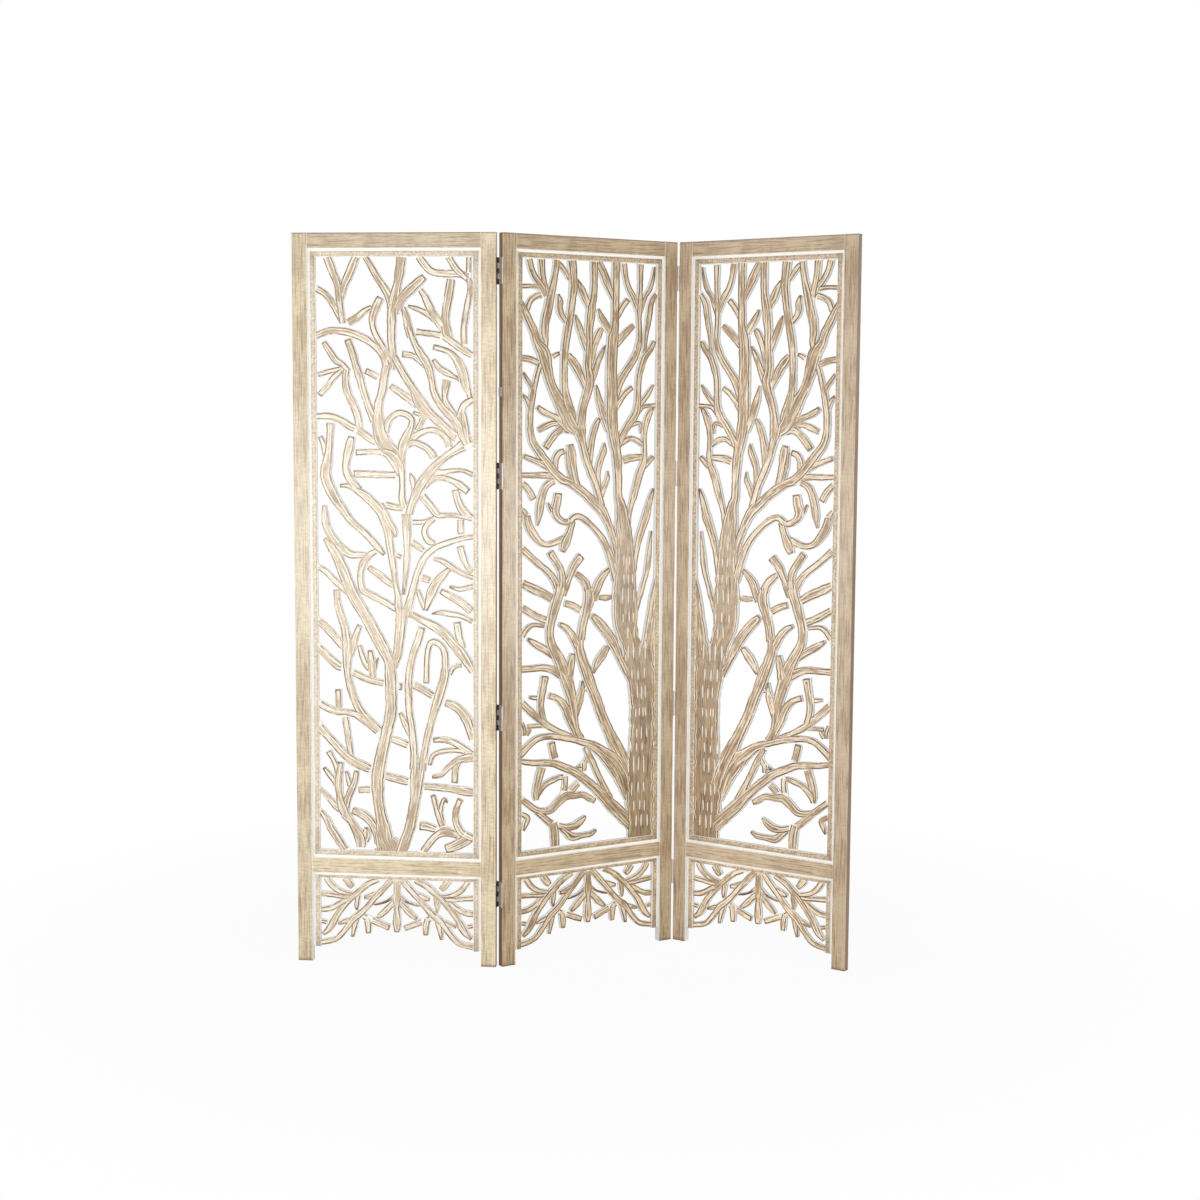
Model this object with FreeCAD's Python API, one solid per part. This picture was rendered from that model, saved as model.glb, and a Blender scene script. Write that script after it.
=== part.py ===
import FreeCAD, Part
import math
import os

Vector = FreeCAD.Vector

# Panel frame, millimetres, seen from the front: x to the right, y to the back, z up
panel_width = 508.0
panel_height = 1829.0
frame_depth = 20.0
stile_width = 38.0
top_rail_height = 38.0
middle_rail_foot = 230.0
middle_rail_height = 39.0
edge_round = 1.2

# Thin lip round the inside of the frame that the carved boards are glued against
lip_depth = 6.0
channel_width = 5.5

# Carved boards
board_depth = 13.0
bead_width = 14.5
apron_bead_height = 8.5
apron_foot = 37.5

# Dowels in the rail joints
dowel_radius = 4.0
dowel_half_length = 20.0
dowel_spacing = 14.0
dowel_clearance = 0.05

# Butt hinges
hinge_gap = 4.0
hinge_proud = 1.0
hinge_height_shares = (0.9497, 0.6763, 0.3466, 0.1006)
hinge_names = ("top", "upper", "lower", "bottom")
leaf_height = 64.0
leaf_width = 17.5
leaf_thickness = 1.2
barrel_radius = 2.6
barrel_count = 5
barrel_gap = 0.3
barrel_relief = 0.4
pin_radius = 1.2
pin_clearance = 0.05
pin_head_radius = 2.1
pin_head_height = 1.2
screw_radius = 1.2
screw_head_radius = 2.4
screw_length = 14.0
screw_clearance = 0.05
screw_line = 10.5
screw_spacing = 22.0
screws_per_leaf = 3

# Bumper pad on the middle panel's left edge, this share of the way from the upper hinge to the top one
pad_place_share = 0.414
pad_height = 22.0
pad_depth = 16.0
pad_thickness = 1.2

# How the screen stands: turn of each panel about the vertical
left_turn = -4.5
middle_turn = 32.5
right_turn = -32.5

# Cuts run this far past a face
overrun = 1.0

# A branch ends in a bow this share of its width
tip_share = 0.3

# Branches: points of x, z and width, in thousandths: x and width of the field width, z of its height
thousandth = 0.001

# Left panel: a leaning tree with two stems
left_tree_shares = (
    (444, -6, 184, 440, 8, 176, 421, 17, 130, 416, 28, 112, 412, 42, 100, 398, 62, 75, 384, 85, 73,
     378, 108, 83, 380, 130, 87, 401, 162, 83, 434, 200, 77, 467, 240, 79, 468, 280, 77, 465, 305, 79,
     458, 325, 69, 430, 342, 77, 393, 360, 83, 310, 400, 79, 222, 440, 79, 160, 480, 79, 128, 500, 69,
     88, 518, 59, 45, 532, 27),
    (486, 316, 53, 512, 340, 63, 524, 365, 69, 532, 385, 71, 538, 402, 79, 545, 416, 83),
    (524, 404, 53, 517, 424, 51, 516, 438, 45, 504, 452, 39, 490, 480, 45, 478, 502, 51, 464, 525, 55,
     455, 545, 61, 432, 562, 61, 400, 580, 61, 320, 602, 61, 240, 616, 45, 200, 621, 37, 150, 621, 27),
    (526, -6, 77, 556, 18, 75, 586, 40, 71, 602, 60, 73, 616, 80, 71, 627, 100, 75, 632, 120, 93,
     640, 142, 98),
    (612, 142, 58, 617, 165, 53, 611, 190, 53, 601, 218, 49, 587, 240, 51, 583, 265, 53, 583, 295, 53,
     596, 320, 53, 614, 340, 51, 642, 360, 55, 668, 383, 51),
    (668, 140, 53, 676, 160, 51, 690, 180, 49, 705, 200, 53, 724, 220, 51, 745, 240, 55, 770, 260, 65,
     792, 280, 67, 815, 302, 63, 820, 325, 49, 818, 340, 48, 800, 352, 45, 765, 359, 43, 735, 360, 43,
     712, 350, 41, 702, 330, 39, 700, 310, 39, 698, 291, 43),
    (605, 406, 45, 660, 398, 47, 700, 393, 51, 760, 385, 63, 820, 373, 63, 870, 358, 65, 920, 343, 73,
     960, 328, 63, 1018, 302, 39),
    (897, 393, 53, 910, 370, 53, 930, 350, 53),
    (850, 306, 33, 880, 319, 37, 950, 322, 27),
    (735, 408, 12, 790, 410, 37, 850, 408, 43, 930, 404, 37, 1018, 392, 33),
    (795, 446, 39, 860, 437, 51, 920, 428, 55, 985, 414, 53),
    (695, 413, 27, 715, 430, 53, 735, 445, 69, 770, 462, 63, 825, 478, 47, 850, 484, 33),
    (645, 448, 29, 660, 435, 37, 692, 414, 33),
    (566, 402, 59, 588, 424, 59, 604, 440, 53, 625, 460, 50, 648, 480, 50, 690, 503, 49, 760, 519, 45,
     842, 528, 45, 930, 535, 39, 1018, 539, 35),
    (755, 527, 33, 722, 529, 49, 695, 538, 45, 690, 550, 43, 720, 562, 43, 770, 571, 37),
    (600, 561, 39, 680, 562, 37, 740, 567, 39, 800, 573, 39, 900, 573, 35, 1018, 566, 33),
    (920, 566, 47, 921, 544, 47),
    (918, 521, 51, 935, 505, 51, 965, 487, 41, 1018, 473, 37),
    (750, 500, 27, 800, 497, 39, 850, 489, 45, 920, 478, 39, 1018, 468, 33),
    (640, 472, 47, 715, 464, 47),
    (590, 531, 43, 650, 520, 47, 690, 512, 29),
    (850, 454, 22, 920, 450, 37, 1018, 457, 41),
    (552, 440, 22, 563, 465, 35, 572, 490, 45, 577, 520, 49, 574, 550, 61, 571, 575, 65),
    (505, 536, 16, 495, 546, 43, 465, 560, 47, 435, 575, 47, 405, 592, 43),
    (222, 702, 47, 208, 685, 63, 190, 665, 53, 185, 650, 51, 198, 638, 53, 225, 627, 53, 270, 614, 53),
    (88, 724, 55, 84, 705, 47, 78, 685, 49, 68, 665, 63, 55, 648, 75, 55, 636, 77, 75, 620, 75,
     110, 602, 69, 166, 580, 57, 225, 560, 49, 313, 540, 47, 384, 520, 47, 428, 507, 27),
    (22, 702, 37, 45, 688, 43, 62, 668, 53),
    (400, 513, 27, 360, 510, 43, 320, 502, 49, 290, 490, 53, 275, 475, 47, 275, 460, 47, 290, 446, 51,
     340, 438, 49, 394, 431, 49, 450, 423, 47, 515, 412, 39),
    (330, 484, 39, 390, 473, 49, 440, 463, 49, 497, 452, 33),
    (490, 508, 33, 525, 504, 33, 560, 500, 27),
    (-18, 487, 43, 50, 476, 41, 100, 463, 45, 150, 450, 43, 190, 440, 33),
    (45, 587, 33, 48, 567, 53, 60, 551, 55, 95, 533, 59, 150, 517, 59, 210, 506, 53, 270, 505, 45,
     310, 505, 39),
    (117, 445, 39, 127, 420, 49, 148, 400, 53, 171, 380, 55, 185, 355, 69, 186, 335, 67, 184, 315, 53,
     190, 298, 47, 206, 280, 55, 230, 260, 55, 268, 240, 57, 310, 226, 63, 350, 215, 69, 385, 207, 63),
    (-18, 254, 53, 60, 243, 47, 120, 238, 47, 190, 237, 43, 250, 233, 53, 320, 220, 63),
    (125, 275, 45, 128, 245, 45),
    (166, 236, 43, 185, 200, 47, 208, 158, 41),
    (-18, 216, 63, 50, 197, 55, 110, 180, 55, 160, 166, 59, 220, 153, 63, 290, 145, 63, 340, 139, 53),
    (60, 169, 43, 95, 152, 37, 112, 138, 39, 122, 118, 39),
    (165, 62, 69, 140, 78, 63, 128, 98, 51, 122, 118, 55, 130, 135, 47, 137, 150, 43),
    (165, 70, 59, 180, 88, 53, 205, 104, 53, 228, 118, 47, 240, 136, 37),
    (174, 135, 29, 190, 118, 37, 207, 102, 37),
    (160, 62, 63, 200, 50, 53, 232, 36, 59, 262, 20, 79, 266, 5, 59),
    (268, 8, 53, 290, 18, 63, 302, 28, 63, 300, 39, 29),
    (-18, 110, 27, 60, 88, 39, 100, 76, 47, 150, 66, 53),
    (-18, 72, 20, 42, 52, 47, 68, 37, 53, 108, 21, 57, 177, -6, 53),
    (28, 141, 27, 60, 130, 39, 95, 118, 39, 125, 104, 43),
    (215, 68, 47, 260, 64, 57, 305, 57, 59, 345, 45, 59, 375, 28, 63, 385, 12, 63),
    (258, 104, 45, 300, 105, 47, 350, 105, 43),
    (420, 130, 53, 500, 125, 55, 580, 120, 51, 610, 119, 47),
    (658, 45, 59, 700, 44, 57, 750, 40, 47, 790, 36, 43),
    (657, -6, 49, 715, 16, 53, 760, 29, 53, 815, 36, 69, 870, 33, 53, 900, 30, 53),
    (825, 7, 59, 880, 12, 73, 930, 19, 73, 985, 26, 59),
    (740, 98, 37, 760, 75, 39, 785, 55, 43, 812, 38, 53),
    (832, 86, 14, 812, 92, 33, 795, 82, 35, 788, 68, 37, 805, 46, 41),
    (915, 92, 43, 890, 75, 45, 885, 60, 49, 900, 45, 53, 935, 33, 53, 1018, 24, 43),
    (680, 113, 49, 760, 112, 49, 850, 110, 49, 930, 107, 59, 1018, 104, 59),
    (738, 130, 27, 790, 134, 37, 840, 147, 45, 890, 158, 49, 940, 163, 59, 1018, 167, 73),
    (880, 122, 47, 885, 145, 49, 905, 160, 53),
    (745, 193, 39, 800, 194, 41, 860, 191, 45, 920, 183, 49, 1018, 165, 53),
    (718, 151, 31, 738, 166, 37, 785, 173, 37, 850, 176, 37, 920, 176, 39, 985, 170, 43),
    (825, 257, 49, 880, 252, 59, 925, 242, 63, 960, 228, 69, 985, 208, 59, 1018, 172, 43),
    (470, 193, 49, 520, 189, 49, 605, 180, 47),
    (528, 238, 29, 560, 220, 47, 590, 203, 43, 615, 186, 39),
    (490, 284, 53, 535, 283, 49),
    (610, 287, 49, 680, 278, 51, 755, 266, 47),
    (200, 308, 43, 250, 302, 47, 300, 296, 47, 350, 292, 47, 450, 287, 43),
    (-18, 397, 43, 50, 381, 53, 100, 367, 53, 150, 352, 53, 180, 344, 43),
    (-18, 353, 43, 50, 334, 53, 100, 322, 59, 140, 315, 59, 180, 318, 43),
    (266, 385, 39, 240, 368, 47, 222, 350, 49, 200, 332, 43),
    (265, 351, 35, 282, 335, 41, 305, 320, 45, 340, 312, 53),
    (335, 343, 37, 342, 325, 53, 352, 298, 43),
    (386, 331, 16, 360, 312, 37),
    (255, 677, 45, 330, 678, 39, 400, 678, 43, 450, 676, 63, 500, 665, 83, 540, 640, 53),
    (560, 585, 59, 546, 600, 49, 548, 620, 43, 545, 640, 45, 530, 658, 63, 490, 676, 93, 440, 690, 100,
     410, 705, 96, 398, 720, 87, 393, 740, 69, 400, 760, 57, 423, 780, 57, 434, 800, 57, 450, 820, 59,
     470, 830, 47),
    (-18, 736, 43, 80, 737, 47, 150, 731, 49, 210, 721, 53, 260, 715, 53, 310, 706, 53, 365, 696, 49,
     420, 692, 53),
    (372, 730, 63, 342, 748, 53, 322, 762, 51, 297, 782, 51, 280, 800, 55, 256, 820, 53, 235, 840, 53,
     204, 863, 49),
    (275, 716, 49, 262, 738, 53, 232, 758, 55, 205, 772, 55, 190, 788, 53, 188, 802, 49, 195, 817, 43),
    (15, 806, 37, 80, 811, 37, 130, 814, 37, 190, 817, 39),
    (20, 773, 39, 70, 787, 41, 110, 801, 41, 175, 815, 39),
    (50, 859, 37, 90, 843, 49, 125, 830, 49, 170, 822, 43, 205, 812, 39),
    (-18, 868, 43, 80, 878, 49, 150, 878, 51, 220, 875, 53, 300, 867, 55, 360, 857, 49, 410, 845, 53,
     440, 830, 53, 450, 815, 53),
    (412, 932, 49, 385, 918, 59, 362, 900, 51, 366, 884, 43, 388, 869, 45, 420, 855, 47, 452, 838, 45,
     470, 822, 47),
    (206, 892, 53, 260, 900, 51, 315, 912, 39, 355, 917, 33),
    (480, 815, 47, 492, 830, 43, 488, 845, 51, 482, 865, 57, 484, 890, 61, 488, 915, 65, 505, 935, 73,
     522, 955, 57, 536, 975, 65, 551, 1006, 65),
    (490, 840, 47, 532, 820, 49, 575, 800, 53, 625, 780, 59, 660, 762, 83, 715, 745, 69, 775, 731, 63,
     830, 718, 59, 880, 706, 69, 950, 700, 83),
    (478, 787, 41, 530, 778, 49, 585, 768, 53, 645, 757, 59),
    (622, 744, 27, 665, 740, 33, 705, 737, 47),
    (684, 736, 43, 665, 725, 41, 640, 714, 39),
    (610, 700, 59, 650, 708, 49, 700, 714, 43, 750, 715, 43, 800, 709, 47, 835, 699, 49, 846, 684, 49),
    (560, 688, 59, 620, 694, 47, 670, 690, 49, 710, 684, 49, 745, 673, 53, 762, 662, 43),
    (545, 655, 47, 545, 672, 47, 550, 688, 63, 575, 703, 65, 600, 717, 49, 612, 731, 43, 580, 740, 47,
     530, 743, 45, 490, 738, 43, 460, 729, 47, 440, 712, 53),
    (590, 575, 53, 605, 590, 53, 630, 605, 61, 655, 620, 69, 690, 634, 69, 730, 647, 63, 775, 660, 55,
     830, 672, 53, 890, 682, 59, 950, 692, 79, 1018, 699, 53),
    (922, 740, 63, 930, 748, 57, 950, 758, 51, 1018, 769, 43),
    (925, 745, 63, 930, 725, 89, 945, 705, 79, 965, 692, 53),
    (590, 892, 45, 610, 872, 41, 635, 856, 49, 665, 842, 57, 700, 828, 61, 722, 815, 55, 738, 798, 49,
     750, 780, 49, 775, 765, 53, 815, 750, 57, 860, 738, 59, 900, 725, 63, 930, 708, 69),
    (835, 798, 63, 825, 782, 51, 822, 768, 41, 840, 756, 47, 885, 740, 43),
    (556, 840, 47, 610, 838, 45, 660, 831, 47, 705, 820, 47),
    (750, 831, 29, 790, 817, 49, 840, 809, 47, 900, 801, 29, 915, 798, 31),
    (752, 852, 39, 810, 848, 41, 860, 842, 45, 905, 828, 61, 935, 810, 71, 955, 790, 61, 975, 775, 37,
     985, 766, 37),
    (640, 877, 47, 700, 875, 45, 760, 873, 45, 820, 869, 51, 880, 858, 51, 940, 847, 51, 1018, 835, 43),
    (976, 1006, 37, 972, 970, 37, 982, 948, 37, 968, 925, 43, 952, 900, 47, 942, 880, 45, 945, 852, 47),
    (66, 1006, 65, 110, 975, 55, 140, 955, 51, 150, 935, 49, 158, 915, 45, 170, 891, 41),
    (267, 1006, 53, 215, 972, 59, 185, 955, 53, 160, 932, 47),
    (-18, 951, 47, 60, 939, 45, 105, 924, 49, 140, 908, 47, 165, 893, 39),
    (304, 1006, 37, 352, 985, 45, 395, 965, 49, 440, 948, 53, 475, 930, 59, 485, 905, 59),
    (505, 908, 53, 545, 930, 61, 590, 943, 65, 640, 955, 63, 690, 966, 49),
    (660, 948, 31, 695, 935, 49, 725, 918, 55, 755, 904, 53, 790, 890, 59, 830, 878, 63),
    (592, 919, 22, 650, 914, 39, 700, 908, 43, 750, 899, 47, 805, 886, 53),
    (558, 917, 37, 578, 900, 53, 588, 885, 53, 600, 868, 45),
    (862, 963, 55, 848, 938, 61, 832, 915, 59, 824, 895, 61, 835, 878, 69, 850, 862, 63),
    (643, 1006, 47, 700, 985, 55, 745, 975, 51, 820, 972, 51, 900, 972, 53, 975, 968, 39),
    (833, 1006, 49, 885, 983, 49, 925, 972, 45, 978, 960, 37),
    (440, 590, 43, 500, 586, 49, 550, 585, 47),
    (320, 812, 43, 360, 807, 47, 425, 798, 47),
    (600, 643, 14, 612, 632, 43, 620, 618, 35, 622, 600, 47),
    (242, 641, 53, 330, 641, 49, 420, 640, 49, 550, 640, 43),
    (730, 645, 59, 800, 645, 45, 870, 648, 35, 940, 648, 31, 1018, 639, 39),
    (685, 622, 59, 735, 633, 47, 800, 636, 41, 860, 632, 43, 910, 625, 53, 965, 614, 49),
    (888, 615, 53, 905, 598, 55, 930, 584, 63, 965, 574, 53, 1018, 566, 43),
    (650, 615, 63, 690, 600, 55, 730, 588, 55, 765, 576, 49, 800, 572, 39),
)

# Middle panel: a stout tree that stands at the right
middle_tree_shares = (
    (907, -6, 196, 902, 40, 204, 897, 80, 214, 905, 130, 198, 911, 180, 186, 911, 240, 186,
     903, 275, 202, 884, 310, 240, 880, 335, 226),
    (845, 325, 140, 812, 352, 150, 782, 375, 174, 775, 400, 190, 770, 440, 182, 772, 480, 150,
     765, 520, 132, 752, 550, 116, 735, 585, 77, 716, 602, 57, 713, 630, 57, 706, 660, 65,
     697, 680, 69, 676, 705, 81, 660, 735, 87, 660, 780, 87, 657, 820, 81, 660, 855, 83, 668, 875, 79,
     680, 895, 57, 683, 920, 53, 685, 960, 53, 687, 1006, 55),
    (950, 322, 118, 957, 340, 106, 976, 386, 74, 988, 419, 55, 1001, 444, 32, 1018, 466, 14),
    (-18, 156, 37, 80, 151, 43, 160, 149, 47, 240, 146, 53, 310, 138, 59, 400, 127, 63, 470, 113, 63,
     535, 99, 65, 605, 82, 75, 670, 64, 87, 740, 47, 93, 800, 32, 93, 860, 14, 83),
    (222, 182, 51, 235, 165, 53, 262, 144, 53),
    (430, 362, 61, 425, 345, 67, 445, 325, 73, 475, 305, 81, 505, 284, 81, 530, 268, 71, 560, 250, 73,
     600, 222, 73, 645, 198, 75, 690, 175, 87, 740, 152, 96, 800, 120, 100, 850, 80, 100),
    (-18, 165, 53, 60, 183, 47, 120, 192, 45, 200, 194, 43, 300, 190, 47, 390, 184, 47, 460, 178, 53,
     530, 171, 63, 600, 158, 87, 680, 140, 120, 750, 112, 110, 810, 70, 63),
    (475, 168, 39, 505, 154, 47, 535, 140, 47, 555, 128, 45, 590, 110, 45, 630, 90, 53, 668, 72, 63),
    (398, 134, 10, 440, 137, 33, 480, 144, 43, 500, 158, 27),
    (468, 142, 43, 466, 127, 37),
    (-18, 94, 47, 50, 80, 47, 100, 70, 47, 160, 65, 47, 220, 66, 53, 270, 77, 59, 330, 87, 63,
     400, 86, 47, 460, 86, 47, 505, 79, 49, 547, 73, 41),
    (108, 86, 33, 125, 98, 47, 175, 111, 43, 230, 117, 41, 290, 121, 39, 340, 119, 39),
    (325, 121, 45, 322, 104, 43, 308, 86, 53),
    (152, 142, 63, 122, 118, 55, 105, 98, 49, 110, 86, 39),
    (345, 88, 47, 390, 100, 53, 425, 108, 47),
    (95, 70, 43, 170, 53, 49, 220, 42, 53, 280, 36, 45, 340, 32, 47, 400, 33, 57, 450, 41, 47,
     478, 48, 20),
    (235, 42, 63, 248, 22, 65, 252, -6, 63),
    (285, 34, 33, 340, 22, 53, 380, 14, 59, 450, 14, 43, 520, 15, 39, 558, 21, 22),
    (-18, 67, 37, 45, 57, 43, 30, 45, 37, 16, 35, 14),
    (-18, 260, 53, 60, 241, 53, 120, 227, 51, 190, 213, 51, 260, 203, 43, 340, 193, 43, 400, 185, 43),
    (45, 214, 33, 100, 214, 33, 170, 214, 39),
    (66, 210, 33, 38, 200, 37),
    (-18, 234, 27, 18, 212, 33, 24, 199, 27),
    (170, 297, 59, 155, 275, 53, 142, 255, 51, 145, 238, 49, 170, 216, 47),
    (60, 264, 27, 110, 262, 37, 155, 262, 33),
    (206, 264, 47, 270, 257, 47, 320, 243, 59, 355, 222, 63, 385, 205, 53, 425, 187, 53),
    (310, 306, 100, 345, 280, 87, 372, 255, 75, 387, 235, 67, 394, 215, 53, 412, 198, 49, 450, 184, 47),
    (449, 285, 18, 446, 270, 43, 432, 256, 63, 412, 238, 53, 398, 222, 43),
    (452, 278, 20, 480, 270, 33, 520, 272, 43),
    (440, 356, 59, 448, 378, 59, 465, 395, 59, 485, 412, 69, 500, 428, 79, 492, 446, 69),
    (525, 425, 73, 550, 440, 63, 575, 455, 63, 610, 467, 47, 648, 476, 31),
    (560, 428, 27, 620, 427, 45, 668, 428, 33),
    (330, 292, 100, 290, 318, 87, 255, 335, 75, 220, 352, 65, 205, 370, 59, 215, 390, 59, 235, 408, 67,
     255, 425, 71, 282, 446, 75, 292, 462, 69),
    (376, 333, 39, 365, 318, 59, 355, 298, 59, 350, 282, 63),
    (-18, 313, 47, 80, 313, 47, 160, 313, 51, 230, 308, 59, 300, 298, 69),
    (45, 364, 27, 110, 353, 53, 170, 344, 53, 235, 333, 57),
    (-18, 360, 43, 35, 380, 41, 80, 387, 35, 130, 386, 31, 180, 384, 33),
    (-18, 421, 47, 70, 407, 53, 130, 399, 53, 200, 392, 53),
    (-18, 462, 53, 80, 449, 65, 150, 441, 63, 215, 431, 55, 255, 424, 43),
    (278, 386, 31, 320, 380, 47, 365, 368, 53, 400, 352, 59, 430, 336, 53),
    (322, 421, 49, 380, 416, 51, 460, 404, 47),
    (524, 397, 43, 560, 388, 65, 615, 373, 69, 665, 356, 73, 705, 337, 63, 740, 318, 53, 800, 290, 53),
    (640, 341, 43, 600, 327, 61, 562, 314, 53, 532, 298, 27),
    (858, 399, 37, 882, 422, 37, 895, 430, 39, 910, 445, 37, 935, 465, 39, 950, 485, 47, 960, 510, 37,
     972, 540, 18),
    (830, 465, 53, 850, 495, 43, 868, 520, 53, 900, 545, 59, 930, 565, 65, 955, 590, 47, 968, 601, 39,
     985, 614, 18),
    (760, 525, 63, 785, 548, 53, 795, 562, 39, 806, 578, 39, 822, 592, 45, 836, 603, 53, 856, 621, 57,
     878, 640, 59, 905, 656, 53, 915, 672, 43, 912, 700, 37, 918, 718, 43, 935, 735, 51, 960, 748, 39,
     985, 756, 16),
    (890, 648, 47, 935, 658, 43, 980, 669, 35),
    (712, 500, 53, 680, 530, 51, 650, 550, 55, 620, 566, 61, 585, 580, 73, 530, 592, 69, 470, 606, 63,
     400, 619, 63, 340, 628, 59, 290, 633, 63, 235, 645, 63, 185, 660, 63, 130, 677, 59, 78, 695, 55,
     58, 715, 49, 57, 742, 49, 66, 760, 49, 78, 778, 45, 95, 795, 39, 112, 812, 37, 135, 828, 39),
    (700, 455, 53, 670, 488, 59, 635, 512, 53, 595, 530, 49, 545, 545, 43, 490, 558, 43, 430, 568, 47,
     385, 568, 45, 345, 560, 47, 300, 561, 47, 258, 569, 53, 243, 580, 63, 256, 594, 63, 264, 608, 57),
    (188, 593, 18, 215, 580, 33, 250, 570, 39),
    (372, 562, 47, 345, 540, 53, 320, 526, 73, 298, 511, 49),
    (35, 572, 53, 50, 556, 63, 85, 541, 59, 135, 527, 47, 190, 523, 43, 245, 526, 45, 310, 532, 53),
    (-18, 591, 20, 35, 573, 47),
    (112, 555, 14, 125, 575, 53, 135, 592, 59, 150, 607, 53, 175, 621, 51, 220, 629, 47, 275, 633, 53),
    (-18, 522, 53, 60, 504, 47, 120, 491, 47, 180, 479, 47, 230, 465, 53, 270, 445, 59),
    (208, 509, 53, 250, 493, 53, 285, 478, 51, 296, 460, 53, 285, 440, 63),
    (434, 500, 63, 385, 485, 59, 355, 470, 49, 330, 455, 53, 298, 436, 63),
    (395, 472, 39, 440, 463, 53, 475, 452, 59, 492, 436, 63),
    (-18, 641, 37, 80, 640, 43, 160, 640, 47, 250, 638, 49),
    (-18, 632, 41, 45, 617, 47, 82, 601, 49),
    (15, 672, 37, 80, 666, 41, 140, 660, 47, 210, 650, 53),
    (122, 716, 43, 170, 722, 47, 230, 727, 41, 290, 724, 43),
    (113, 754, 35, 150, 747, 47, 200, 741, 45, 250, 736, 49, 290, 727, 59, 340, 718, 59),
    (345, 714, 43, 300, 718, 53, 250, 711, 51, 210, 700, 53, 172, 687, 53),
    (420, 728, 93, 425, 712, 87, 440, 695, 55, 465, 672, 53, 500, 648, 53, 540, 625, 49, 565, 605, 49,
     590, 580, 63),
    (410, 712, 63, 345, 727, 100, 310, 745, 100, 268, 765, 87, 222, 785, 67, 195, 803, 69,
     172, 825, 87, 152, 845, 93, 105, 862, 61, 82, 880, 57, 45, 898, 55, 15, 914, 47, -18, 930, 37),
    (360, 725, 83, 348, 745, 79, 325, 765, 69, 308, 785, 53, 304, 810, 49, 306, 840, 51, 315, 862, 53,
     328, 882, 55, 343, 902, 53, 357, 926, 53, 371, 955, 55, 366, 980, 61, 356, 1006, 63),
    (150, 842, 53, 166, 862, 47, 160, 880, 59, 166, 897, 63, 188, 920, 65, 207, 943, 59, 228, 965, 49,
     242, 985, 45, 250, 1006, 49),
    (205, 834, 39, 245, 842, 33, 295, 846, 20),
    (425, 712, 73, 436, 740, 61, 452, 760, 59, 478, 780, 63, 494, 800, 67, 480, 822, 57, 483, 842, 57,
     488, 865, 55, 487, 885, 57, 496, 903, 63, 503, 922, 63, 517, 940, 53, 523, 960, 49, 523, 985, 51,
     524, 1006, 59),
    (500, 795, 59, 530, 815, 53, 555, 832, 49, 580, 845, 39, 607, 859, 12),
    (334, 842, 43, 365, 832, 63, 400, 820, 63, 430, 805, 53, 465, 787, 43),
    (543, 792, 14, 560, 772, 47, 580, 755, 53, 600, 738, 53, 640, 715, 53),
    (680, 765, 53, 715, 795, 63, 765, 815, 53, 815, 833, 53, 850, 850, 49, 868, 870, 41, 868, 890, 37,
     864, 908, 37, 866, 925, 47, 870, 945, 39, 873, 965, 35, 873, 985, 41, 874, 1006, 47),
    (864, 915, 43, 825, 940, 47, 785, 957, 43, 760, 976, 41, 745, 1006, 45),
    (868, 915, 43, 910, 943, 33, 945, 957, 35, 968, 975, 31, 979, 995, 16),
    (776, 937, 43, 740, 926, 43, 712, 914, 41, 680, 900, 41),
    (820, 894, 37, 775, 884, 53, 735, 873, 49, 690, 860, 49),
    (813, 788, 39, 770, 780, 39, 730, 768, 43, 690, 752, 47),
    (690, 680, 63, 735, 702, 55, 765, 715, 53, 800, 728, 55, 838, 741, 59, 858, 757, 53, 862, 785, 45,
     866, 805, 45, 882, 822, 51, 908, 840, 51, 935, 849, 47, 960, 857, 43, 980, 868, 31),
    (900, 832, 43, 912, 858, 31, 918, 875, 33, 930, 893, 43, 945, 915, 47, 960, 935, 45, 1018, 958, 27),
    (862, 755, 39, 915, 770, 39, 950, 782, 37, 980, 794, 14),
    (845, 740, 43, 890, 754, 37, 930, 757, 33, 1018, 758, 37),
    (790, 720, 27, 835, 726, 31, 868, 728, 33, 885, 722, 33, 880, 710, 12),
    (720, 688, 39, 770, 698, 39, 810, 701, 41, 855, 698, 41, 905, 688, 29),
    (720, 660, 53, 800, 667, 55, 905, 669, 43),
    (607, 694, 14, 602, 680, 47, 578, 664, 49, 562, 650, 45, 558, 632, 45, 570, 608, 47),
    (633, 646, 10, 633, 632, 35, 612, 620, 41, 580, 600, 43),
    (564, 735, 31, 540, 722, 47, 515, 702, 49, 500, 680, 55, 492, 655, 53),
    (350, 690, 51, 362, 675, 65, 372, 655, 55, 388, 635, 51, 415, 614, 49),
    (328, 680, 27, 335, 655, 27, 365, 630, 27),
    (302, 680, 41, 265, 676, 47, 242, 665, 49, 242, 645, 49),
    (36, 915, 39, 55, 929, 43, 95, 937, 43, 150, 941, 49, 195, 940, 47),
    (-18, 953, 33, 60, 954, 33, 110, 953, 35, 170, 948, 47),
    (42, 1006, 45, 62, 985, 45, 90, 970, 45, 135, 956, 49, 175, 940, 53),
    (137, 1006, 55, 142, 980, 45, 155, 960, 47, 175, 940, 53),
    (255, 996, 33, 295, 985, 41, 340, 968, 29),
    (258, 942, 20, 272, 930, 49, 268, 920, 53, 285, 908, 45, 335, 892, 33),
    (398, 968, 20, 430, 952, 55, 455, 938, 55, 492, 922, 47),
    (383, 909, 16, 405, 895, 45, 430, 878, 49, 455, 862, 49, 480, 845, 43),
    (536, 1006, 53, 590, 982, 61, 615, 968, 61, 640, 953, 45, 675, 936, 39),
    (556, 920, 20, 580, 907, 47, 615, 894, 49, 660, 876, 53),
    (594, 890, 16, 568, 882, 49, 540, 867, 49, 520, 850, 45, 500, 825, 39),
    (-18, 836, 43, 60, 833, 47, 125, 826, 43),
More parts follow.
